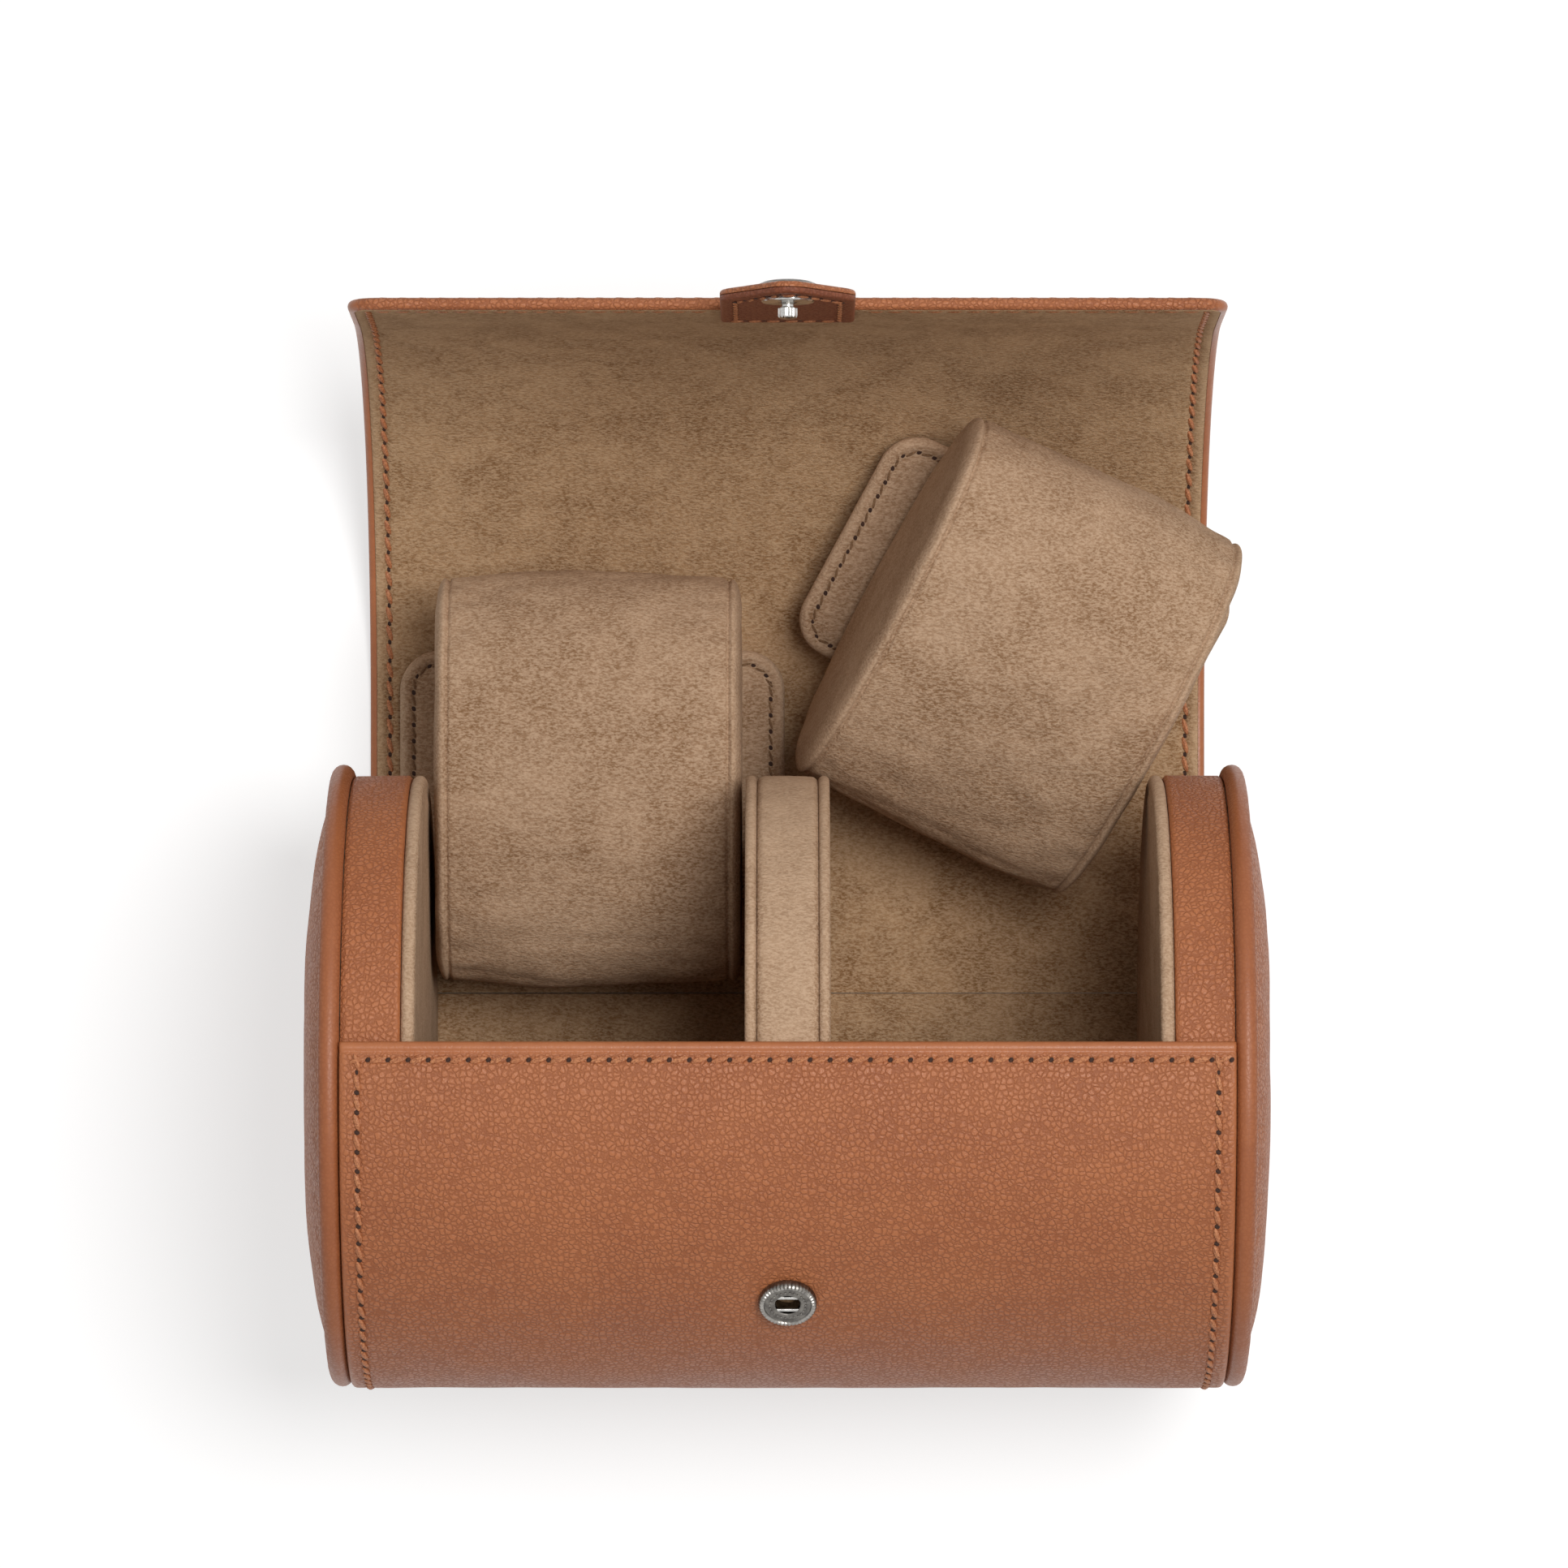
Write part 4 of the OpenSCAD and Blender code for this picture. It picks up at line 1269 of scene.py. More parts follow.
@dataclass
class Divider:
    """The padded wall between the two compartments."""

    roll: Roll
    shelf: Shelf
    half: float = 7.0
    strip_half: float = 5.05
    welt_r: float = 0.95
    strip_t: float = 1.1

    def strip_profile(self) -> list[tuple[float, float]]:
        """Outline of the middle strip: crowned, and pulled down at its seams."""
        xs = steps(-self.strip_half, self.strip_half, 0.42)
        top = [(self.roll.rim_r - 0.06 - 0.55 * bell(self.strip_half - abs(x), 0.45)
                - 0.2 * (x / self.strip_half) ** 4, x) for x in xs]
        return top + [(self.roll.rim_r - self.strip_t, self.strip_half),
                      (self.roll.rim_r - self.strip_t, -self.strip_half), top[0]]

    def face_profile(self, sign: int) -> list[tuple[float, float]]:
        """Outline of one padded face: flat below, with a welt at its rim."""
        welt_x = self.half - self.welt_r
        mid = self.roll.rim_r - self.welt_r
        welt = [(mid + self.welt_r * math.sin(a), welt_x + self.welt_r * math.cos(a))
                for a in steps(math.radians(-22), math.radians(180), math.radians(16.8))]
        face = [(r, self.half - 0.24) for r in steps(0, mid - 2.4, 2.6)]
        back = [(mid - 0.5, self.strip_half + 0.04), (0, self.strip_half + 0.04)]
        return [(r, sign * x) for r, x in face + [(mid - 1.2, self.half - 0.34)] + welt + back]

    def uneven(self, point: Vector) -> Vector:
        """Pads the faces softly and lets the rim wander."""
        r, arc = self.roll.reach(point), self.roll.rim_arc(point)
        rim = ease(r, 48.4, 49.6)
        lump = 0.14 * wander(arc, point.x * 2, 21, 4.5) + 0.1 * wander(arc, 3, point.x, 14) - 0.08
        push = 0.25 * (wander(point.y, point.z, point.x, 16) - 0.5) * ease(49 - r, 0.0, 8.0)
        if abs(point.x) < self.strip_half + 0.3:
            push = 0.0
        return self.roll.swell(point, 1 + lump * rim / max(r, 1), math.copysign(push, point.x))

    def panel(self, part: str, profile: Outline, end: str = "") -> bpy.types.Object:
        """Spins one panel of the divider.

        Args:
            part: What the panel is.
            profile: Outline as (radius, X).
            end: Its side, as the end of its name.

        Returns:
            The panel.
        """
        bm = bmesh.new()
        self.roll.spin(bm, profile, 190)
        for vert in bm.verts:
            vert.co = self.uneven(vert.co)
        return finish_piece(bm, f"divider_{part}_suede{end}", [self.shelf[Look.SUEDE]],
                            lambda p: 0.75 * ease(self.roll.reach(p), 49.5, 50.2),
                            nodes=[f"divider_{part}{end}"], slot="suede", body="case", fill=0.6)

    def build(self) -> list[bpy.types.Object]:
        """Builds the strip and both faces."""
        return [self.panel("strip", self.strip_profile())] + [
            self.panel("face", self.face_profile(side.value), f"_{side.word}") for side in Side]


@dataclass
class SnapSocket:
    """The snap's socket on the front panel, with a toothed rim and a ring of dots."""

    roll: Roll
    shelf: Shelf
    angle: float = 42.6
    outer_r: float = 4.75
    height: float = 1.7
    rim_w: float = 0.9
    bore_r: float = 2.1
    groove_r: float = 3.2
    teeth: int = 44
    dots: int = 26
    dot_r: float = 2.95

    @property
    def seat(self) -> Matrix:
        """Places the socket on the wall, its axis along local Z."""
        return (Matrix.Translation(self.roll.centre) @ Matrix.Rotation(math.radians(self.angle), 4, "X")
                @ Matrix.Translation((0, 0, self.roll.outer_r)))

    def profile(self) -> list[tuple[float, float]]:
        """Outline of the socket as (radius, height)."""
        face, rim = self.height - 0.42, self.outer_r - self.rim_w
        return [(self.bore_r, -1.4), (self.bore_r, 0.42), (self.groove_r, 0.44), (self.groove_r, 1.02),
                (self.bore_r, 1.06), (self.bore_r, face - 0.12), (self.bore_r + 0.16, face + 0.02),
                (self.bore_r + 0.45, face + 0.04), (rim - 0.55, face), (rim - 0.3, face - 0.06),
                (rim - 0.08, face + 0.02), (rim + 0.05, self.height - 0.12), (rim + 0.22, self.height),
                (rim + 0.5, self.height - 0.02), (rim + 0.72, self.height - 0.2),
                (self.outer_r, self.height - 0.55), (self.outer_r + 0.02, 0.3), (self.outer_r - 0.08, 0.05),
                (self.outer_r - 0.4, -0.05), (2.6, -0.1), (2.55, -1.4), (self.bore_r, -1.4)]

    def build(self) -> bpy.types.Object:
        """Builds the socket."""
        bm = bmesh.new()
        revolve(bm, self.profile(), self.teeth * 4, Vector(), Z_AXIS, X_AXIS)
        rim = self.outer_r - self.rim_w
        for vert in bm.verts:
            r = math.hypot(vert.co.x, vert.co.y)
            if r > rim + 0.1 and vert.co.z > 0.6:
                notch = max(0.0, math.cos(self.teeth * math.atan2(vert.co.y, vert.co.x)))
                vert.co.z -= 0.2 * notch * ease(r, rim + 0.1, rim + 0.5)
                vert.co.xy *= 1 - 0.022 * notch * ease(r, rim + 0.5, self.outer_r)
        for i in range(self.dots):
            turn = math.tau * i / self.dots
            spot = Vector((self.dot_r * math.cos(turn), self.dot_r * math.sin(turn), self.height - 0.4))
            bmesh.ops.create_uvsphere(bm, u_segments=8, v_segments=6, radius=0.2,
                                      matrix=Matrix.Translation(spot))
        seat = self.seat
        bmesh.ops.transform(bm, matrix=seat, verts=bm.verts)
        back = seat.inverted()
        return finish_piece(bm, "snap_socket_metal", [self.shelf[Look.NICKEL]],
                            lambda p: ease((back @ p).z, self.height - 0.3, self.height - 0.05), sharp=35,
                            nodes=["snap_socket"], slot="nickel", body="case")


# Flap


@dataclass
class Flap:
    """The flap: leather outside, suede inside, folding on nine lines."""

    shelf: Shelf
    half: float = 72.3
    rim_w: float = 1.1
    leather_t: float = 1.1
    lining_t: float = 0.9
    corner_r: float = 5.0
    hinge: tuple[float, float] = (13.29, 2.2)
    flat_z: float = 2.0
    curl_y: float = 60.0
    curl_r: float = 65.0
    curl_turn: float = math.radians(86)
    flat_step: float = 15.57
    curl_step: float = 24.39
    rim_step: float = 12.0
    lap: float = 0.8
    seam_inset: float = 3.4
    tab_half: float = 11.0
    stitching: Stitching = field(default_factory=Stitching)

    @property
    def sections(self) -> list[float]:
        """Lengths of the nine sections between the fold lines, from the hinge to the free edge."""
        return [self.flat_step] * 3 + [self.curl_step] * 4 + [self.rim_step] * 2

    @property
    def curl_s(self) -> float:
        """Distance from the hinge to where the flap starts to curl."""
        return 3 * self.flat_step

    @property
    def edge_s(self) -> float:
        """Distance from the hinge to the free edge."""
        return self.curl_s + 4 * self.curl_step + 2 * self.rim_step

    @property
    def thickness(self) -> float:
        """Leather and lining together."""
        return self.leather_t + self.lining_t

    def path(self, s: float) -> tuple[float, float, float]:
        """The lined side's line, from the hinge to the free edge.

        Args:
            s: Distance along it from the hinge.

        Returns:
            Y, Z and the heading in radians up from level.
        """
        if s < self.flat_step:
            slope = math.atan2(self.flat_z - self.hinge[1], self.flat_step)
            return self.hinge[0] + s * math.cos(slope), self.hinge[1] + s * math.sin(slope), slope
        if s < self.curl_s:
            return self.curl_y - (self.curl_s - s), self.flat_z, 0.0
        turn = min((s - self.curl_s) / self.curl_r, self.curl_turn)
        beyond = max(0.0, s - self.curl_s - self.curl_r * self.curl_turn)
        y = self.curl_y + self.curl_r * math.sin(turn) + beyond * math.cos(turn)
        z = self.flat_z + self.curl_r * (1 - math.cos(turn)) + beyond * math.sin(turn)
        return y, z, turn

    def place(self, x: float, s: float, height: float) -> Vector:
        """A point at a height over the lined side, kept above the floor."""
        y, z, heading = self.path(s)
        height += self.wave(x, s)
        point = Vector((x, y - height * math.sin(heading), z + height * math.cos(heading)))
        point.z = max(point.z, 0.0)
        return point

    def wave(self, x: float, s: float) -> float:
        """The soft unevenness of the whole flap."""
        calm = ease(self.inset(x, s), 1.0, 12.0) * ease(s, 4.0, 20.0)
        depth = 0.06 + 0.34 * ease(s, 62.0, 100.0)
        return calm * depth * (0.4 + 0.8 * wander(x, s, 1, 34) + 0.3 * wander(x, s, 8, 13))

    def inset(self, x: float, s: float) -> float:
        """Distance in from the flap's outline."""
        return corner_inset(self.half - abs(x), self.edge_s - s, self.corner_r)

    def width(self, s: float) -> float:
        """Half of the flap's width, which narrows round the corners."""
        return corner_width(self.half, s - (self.edge_s - self.corner_r), self.corner_r)

    def lined(self, x: float, s: float) -> float:
        """Height of the leather towards the lined side: its turned rim, then the lining's bed."""
        inset = self.inset(x, s)
        return -self.lining_t if inset > self.rim_w + 0.06 else -round_over(inset, 1.0)

    def outer(self, x: float, s: float) -> float:
        """Height of the leather's outer face, drawn in along the seam."""
        inset = self.inset(x, s)
        seam = 0.2 * bell(inset - self.seam_inset, SEAM_W) + 0.12 * bell(inset - 1.7, 0.3)
        return round_over(inset, 1.0) - self.thickness + seam

    def nap_top(self, x: float, s: float) -> float:
        """Height of the lining: a soft roll at its border, then the seam."""
        inset = self.inset(x, s) - self.rim_w
        soft = 0.05 * wander(x, s, 4, 5) * ease(inset, 2.5, 6.0)
        seam = 0.12 * bell(inset - 0.8, 0.6) - 0.4 * bell(inset - 2.3, 0.5)
        return seam - 0.5 * round_over(inset, 0.45) + soft

    def ranges(self) -> list[tuple[float, float]]:
        """The stretch of each piece: one round every fold line, and the edge's own."""
        marks, start = [-self.lap], 0.0
        for length in self.sections:
            marks.append(start + length / 2)
            start += length
        marks.append(self.edge_s)
        return list(zip(marks, marks[1:]))

    def hang(self, piece: bpy.types.Object, index: int) -> bpy.types.Object:
        """Lets a piece bend between the sections that it joins.

        Args:
            piece: The finished piece.
            index: Number of its stretch, from 0.

        Returns:
            The piece.
        """
        if index == len(self.sections):
            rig.ride(piece, f"flap_{index}")
            return piece
        low, high = self.ranges()[index]
        start, end = self.path(low), self.path(high)
        before = "case" if index == 0 else f"flap_{index}"
        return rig.blend(piece, before, f"flap_{index + 1}",
                        (0.0, start[0] * MM, start[1] * MM), (0.0, end[0] * MM, end[1] * MM)) or piece

    def stations(self, low: float, high: float) -> list[float]:
        """Stations along one stretch, closer together at the free edge."""
        if high < self.edge_s:
            return steps(low, high, ROW_STEP)
        near = [self.edge_s - e for e in (0.8, 0.5, 0.25, 0.08, 0.0)]
        corner = steps(self.edge_s - 4.7, self.edge_s - 1.04, 0.26)
        return steps(low, self.edge_s - 5.0, ROW_STEP) + corner + near

    def sheet(self, index: int, half: float, border: Sequence[float], rows: Sequence[float],
              faces: Sequence[Callable[[float, float], float]], look: Look, worn: Worn) -> bpy.types.Object:
        """Makes one layer of one stretch and hangs it on its sections.

        Args:
            index: Number of its stretch, from 0.
            half: Half of the layer's width.
            border: Distances of the border's stations from the layer's edge.
            rows: Stations along it.
            faces: Heights of its upper and lower face, for a share of the half width and a station.
            look: Its finish.
            worn: How rubbed the surface is at a point.

        Returns:
            The layer.
        """
        inset = self.half - half
        bm = bmesh.new()
        curved_slab(bm, [x / half for x in mirrored(half, border, COLUMN_STEP)], rows, *faces,
                    lambda u, s, h: self.place(u * (self.width(s) - inset), s, h))
        layer, ending, slot = "lining", "suede", "suede"
        if look is Look.GRAINED:
            layer, ending, slot = "leather", "sheet", "leather"
        nodes = [f"flap_{layer}_{index + 1}"] if index < len(self.sections) else []
        return self.hang(finish_piece(bm, f"flap_{layer}_{ending}_{index + 1}", [self.shelf[look]], worn,
                                      sharp=60, nodes=nodes, slot=slot), index)

    def build_leather(self, index: int) -> bpy.types.Object:
        """The leather of one stretch, with its turned rims."""
        border = [0.0, 0.08, 0.25, 0.5, 0.8, 1.12, 1.18, 1.45, 1.7, 2.0, 2.5, 2.9, 3.2, 3.4, 3.6, 4.0, 4.6]
        return self.sheet(index, self.half, border, self.stations(*self.ranges()[index]),
                          [lambda u, s: self.lined(u * self.width(s), s),
                           lambda u, s: self.outer(u * self.width(s), s)],
                          Look.GRAINED, lambda p: 1 - ease(self.half - abs(p.x), 1.2, 2.4))

    def build_lining(self, index: int) -> bpy.types.Object:
        """The suede of one stretch."""
        half = self.half - self.rim_w
        border = [0.0, 0.06, 0.2, 0.45, 0.8, 1.2, 1.6, 1.9, 2.1, 2.3, 2.5, 2.7, 3.0, 3.6]
        low, high = self.ranges()[index]
        end = self.edge_s - self.rim_w
        rows = steps(low, high, ROW_STEP)
        if index == len(self.sections):
            rows = steps(low, end - 4.0, 1.0) + steps(end - 3.7, end - 0.5, 0.22)
            rows += [end - 0.2, end - 0.06, end]

        def nap_top(u: float, s: float) -> float:
            """Height of the nap, whose border follows the free edge."""
            width = self.width(s + self.rim_w * ease(s, end - 4, end)) - self.rim_w
            return self.nap_top(u * width, s)
        return self.sheet(index, half, border, rows, [nap_top, lambda u, s: 0.03 - self.lining_t],
                          Look.LID_SUEDE, lambda p: 0.8 * (1 - ease(half - abs(p.x), 0.6, 1.8)))

    def seam_spots(self, low: float, high: float) -> Iterator[Spot]:
        """Stitches of one stretch, on both faces of the flap.

        Args:
            low: Start of the stretch.
            high: Its end.

        Yields:
            Point, direction and outward direction of each stitch.
        """
        pitch, corner = self.stitching.pitch, self.edge_s - self.seam_inset - 2.2
        line: list[tuple[float, float, float, float]] = []
        for i in range(1, int(corner / pitch) + 1):
            if low <= i * pitch < high:
                line += [(side.value * (self.half - self.seam_inset), i * pitch, 0.0, 1.0) for side in Side]
        if high >= self.edge_s:
            across = steps(self.seam_inset - self.half + 2.6, self.half - self.seam_inset - 2.6, pitch)
            line += [(x, self.edge_s - self.seam_inset, 1.0, 0.0) for x in across]
        for x, s, dx, ds in line:
            _, _, heading = self.path(s)
            run = Vector((dx, ds * math.cos(heading), ds * math.sin(heading)))
            out = Vector((0, -math.sin(heading), math.cos(heading)))
            if ds > 0 or abs(x) > self.tab_half + 1:
                yield self.place(x, s, self.nap_top(x, s) + 0.05), run, out
            if self.place(x, s, -self.thickness).z > 0.6:
                yield self.place(x, s, self.outer(x, s) - 0.05), run, -out

    def build_seam(self, index: int) -> bpy.types.Object:
        """The stitches of one stretch."""
        spots = self.seam_spots(*self.ranges()[index])
        return self.hang(self.stitching.piece(f"flap_stitches_{index + 1}", spots, self.shelf), index)

    def build(self) -> list[bpy.types.Object]:
        """Builds every stretch of the flap."""
        made = []
        for index in range(len(self.sections) + 1):
            made += [self.build_leather(index), self.build_lining(index), self.build_seam(index)]
        return made


@dataclass
class SnapTab:
    """The pointed tab at the flap's free edge, with the snap's stud."""

    shelf: Shelf
    half: float = 11.0
    layer_t: float = 1.0
    fold: tuple[float, float] = (126.146, 95.455)
    heading: float = math.radians(86)
    root_t: float = -9.0
    backing_t: float = -19.4
    shoulder_t: float = 8.5
    tip_t: float = 20.5
    corner_r: float = 3.5
    stud_t: float = 11.6
    bend: tuple[float, float] = (-4.3, 4.2)
    seam_inset: float = 2.5
    seam_shoulder_t: float = 7.4
    seam_tip: tuple[float, float] = (1.4, 16.6)
    stitching: Stitching = field(
        default_factory=lambda: Stitching(pitch=3.0, length=2.2, width=0.62, height=0.5))

    def place(self, x: float, t: float, height: float) -> Vector:
        """A point of the tab: t along it from its fold, height over its inner face."""
        rise, level = math.sin(self.heading), math.cos(self.heading)
        return Vector((x, self.fold[0] + t * level - height * rise, self.fold[1] + t * rise + height * level))

    def width(self, t: float) -> float:
        """Half of the tab's width at a distance from its fold."""
        r, corner_x, tip_mid = self.corner_r, self.half - self.corner_r, self.tip_t - self.corner_r
        if t <= self.shoulder_t:
            return self.half
        lean = math.atan2(corner_x, tip_mid - self.shoulder_t)
        flank_from, flank_to = self.shoulder_t + r * math.sin(lean), tip_mid + r * math.sin(lean)
        if t <= flank_from:
            return corner_x + math.sqrt(r * r - (t - self.shoulder_t) ** 2)
        if t <= flank_to:
            return r * math.cos(lean) + (flank_to - t) * math.tan(lean)
        return math.sqrt(max(0.0, r * r - (t - tip_mid) ** 2))

    def inset(self, x: float, t: float, root: float) -> float:
        """Distance in from the tab's outline, which starts at root."""
        lean = 1.0 - 0.25 * ease(t, self.shoulder_t, self.shoulder_t + 2.0)
        return min((self.width(t) - abs(x)) * lean, self.tip_t - t, t - root)

    def layer(self, name: str, root: float, top: float, bottom: float, rounded: float, look: Look,
              nodes: tuple[str, ...]) -> bpy.types.Object:
        """Builds one layer of the tab.

        Args:
            name: The piece's name.
            root: Where the layer starts.
            top: Height of its upper face.
            bottom: Height of its lower face.
            rounded: 1 rounds the upper edge, -1 the lower one.
            look: Its finish.
            nodes: The solids that it stands for.

        Returns:
            The layer.
        """
        def over(u: float, t: float) -> float:
            """Upper face."""
            inset = self.inset(u * self.width(t), t, root)
            press = 0.22 * bell(inset - self.seam_inset, 0.5) if rounded > 0 else 0.0
            return top - (0.75 if rounded > 0 else 0.12) * round_over(inset, 0.8) - press

        def under(u: float, t: float) -> float:
            """Lower face."""
            inset = self.inset(u * self.width(t), t, root)
            press = 0.22 * bell(inset - self.seam_inset, 0.5) if rounded < 0 else 0.0
            return bottom + (0.75 if rounded < 0 else 0.12) * round_over(inset, 0.8) + press
        border = (0.0, 0.06, 0.2, 0.45, 0.8, 1.4, 1.9, 2.2, 2.5, 2.8, 3.2)
        rows = ([root, root + 0.06, root + 0.2, root + 0.45] + steps(root + 0.8, root + 3.6, 0.35)
                + steps(root + 4.4, 17.0, 0.7) + steps(17.2, 20.2, 0.2) + [20.35, 20.45, 20.495])
        bm = bmesh.new()
        curved_slab(bm, [x / self.half for x in mirrored(self.half, border, 1.1)], rows, over, under,
                    lambda u, t, h: self.place(u * self.width(t), t, h))
        return self.hang(finish_piece(
            bm, name, [self.shelf[look]], lambda p: 0.8 * (1 - ease(self.half - abs(p.x), 0.3, 1.3)),
            sharp=60, nodes=nodes, slot="leather"))

    def hang(self, piece: bpy.types.Object) -> bpy.types.Object:
        """Lets a piece bend at the tab's fold."""
        start, end = (tuple(self.place(0, t, 0) * MM) for t in self.bend)
        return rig.blend(piece, "flap_9", "tab", start, end) or piece

    def build_seam(self) -> bpy.types.Object:
        """The stitches along the tab's outline, on both faces."""
        x, low = self.half - self.seam_inset, self.backing_t + self.seam_inset
        (tip_x, tip_t), shoulder = self.seam_tip, self.seam_shoulder_t
        path = [(-x, low), (-x, shoulder), (-tip_x, tip_t), (tip_x, tip_t), (x, shoulder), (x, low)]
        path.append(path[0])
        out = Vector((0, -math.sin(self.heading), math.cos(self.heading)))
        inner = [(self.place(px, pt, -0.1), out) for px, pt in path]
        outer = [(self.place(px, max(pt, self.root_t + 1.5), -2 * self.layer_t + 0.1), -out)
                 for px, pt in path[:-1]]
        spots = [spot for line in (inner, outer) for spot in self.stitching.spots(line)]
        return self.hang(self.stitching.piece("tab_stitches", spots, self.shelf))

    def metal(self, name: str, profile: Sequence[tuple[float, float]], node: str, look: Look,
              flutes: int = 0) -> bpy.types.Object:
        """Spins a metal piece whose axis stands on the tab's inner face.

        Args:
            name: The piece's name.
            profile: Outline as (radius, height over the inner face).
            node: The solid that it stands for.
            look: Its finish.
            flutes: Number of flutes round its post.

        Returns:
            The piece.
        """
        bm = bmesh.new()
        revolve(bm, profile, 96, Vector(), Z_AXIS, X_AXIS)
        for vert in bm.verts:
            if flutes and 1.2 < vert.co.z < 3.0:
                vert.co.xy *= 1 - 0.09 * (0.5 + 0.5 * math.cos(flutes * math.atan2(vert.co.y, vert.co.x)))
        seat = Matrix.Translation(self.place(0, self.stud_t, 0)) @ Matrix.Rotation(self.heading, 4, "X")
        bmesh.ops.transform(bm, matrix=seat, verts=bm.verts)
        return finish_piece(bm, name, [self.shelf[look]], sharp=32, nodes=[node], slot="nickel", body="tab")

    def build(self) -> list[bpy.types.Object]:
        """Builds the tab."""
        stud = [(0, 0), (4.3, 0), (4.3, 0.28), (4.12, 0.46), (3.6, 0.52), (2.0, 0.52), (1.5, 0.62),
                (1.02, 0.9), (1.0, 1.15), (1.35, 1.35), (1.65, 1.5), (1.65, 2.75), (1.45, 2.98),
                (1.0, 3.12), (0.55, 3.18), (0, 3.2)]
        cap = [(0, -1.6), (1.2, -1.6), (1.3, -2.0), (4.9, -2.0), (5.0, -2.12), (4.96, -2.3), (4.6, -2.5),
               (4.35, -2.5)] + [(4.3 * math.cos(a), -2.5 - 0.7 * math.sin(a))
                                for a in steps(0.08, math.pi / 2, 0.15)]
        return [
            self.layer("tab_outer_leather", self.root_t, -self.layer_t - 0.01, -2 * self.layer_t, -1,
                       Look.GRAINED, ("tab_root_leather", "tab_leather")),
            # The inner layer takes the painted shade leather: the same leather darkened for its shadow.
            self.layer("tab_inner_leather", self.backing_t, 0.0, -self.layer_t, 1,
                       Look.DARK, ("tab_root_backing", "tab_backing")),
            self.build_seam(),
            self.metal("snap_stud_metal", stud, "snap_stud", Look.STEEL, flutes=12),
            self.metal("stud_cap_metal", cap, "stud_cap", Look.NICKEL),
        ]


# Cushions


@dataclass
class PadShape:
    """The pad of a cushion at its own place: X across the seams, its base at Z 0."""

    half_x: float = 26.25
    half_y: float = 35.75
    half_z: float = 21.0
    centre_z: float = 24.2
    power: float = 2.2
    seam_share: float = 0.90857
    belly: float = 1.2
    rounding: float = 4.0
    around: int = 112

    def inset(self, share: float) -> float:
        """How far the pad has drawn in at a share of its half width."""
        seam = self.seam_share
        over = max(0.0, (share - seam) / (1 - seam))
        return (self.belly * min(1.0, (share / seam) ** 2)
                + self.rounding * (1 - math.sqrt(max(0.0, 1 - over * over))))

    def rings(self) -> list[tuple[float, float, float]]:
        """Stations from one end to the other as (X, inset, scale)."""
        seam_x = self.half_x * self.seam_share
        right = (steps(0, seam_x - 3, 1.7) + steps(seam_x - 2.6, seam_x + 0.8, 0.28)
                 + [seam_x + 1.2, seam_x + 1.6, seam_x + 1.95, seam_x + 2.2, seam_x + 2.35, self.half_x])
        rows = [(x, self.inset(x / self.half_x), 1.0) for x in right]
        last = rows[-1][1]
        rows += [(self.half_x, last, f) for f in (0.94, 0.86, 0.76, 0.64, 0.5, 0.36, 0.22, 0.1, 0.0)]
        return [(-x, i, f) for x, i, f in reversed(rows[1:])] + rows

    def place(self, turn: float, ring: tuple[float, float, float]) -> Vector:
        """A point on the pad's skin at an angle round it and a station."""
        x, inset, scale = ring
        c, s = math.cos(turn), math.sin(turn)
        y = math.copysign(abs(c) ** (2 / self.power), c) * (self.half_y - inset) * scale
        z = math.copysign(abs(s) ** (2 / self.power), s) * (self.half_z - inset) * scale
        return Vector((x, y, z + self.centre_z))

    def mesh(self) -> bmesh.types.BMesh:
        """The closed skin of the pad."""
        bm = bmesh.new()
        turns = [math.tau * i / self.around for i in range(self.around)] + [0.0]
        grid_skin(bm, turns, self.rings(), self.place, closed=True)
        bmesh.ops.recalc_face_normals(bm, faces=bm.faces)
        return bm


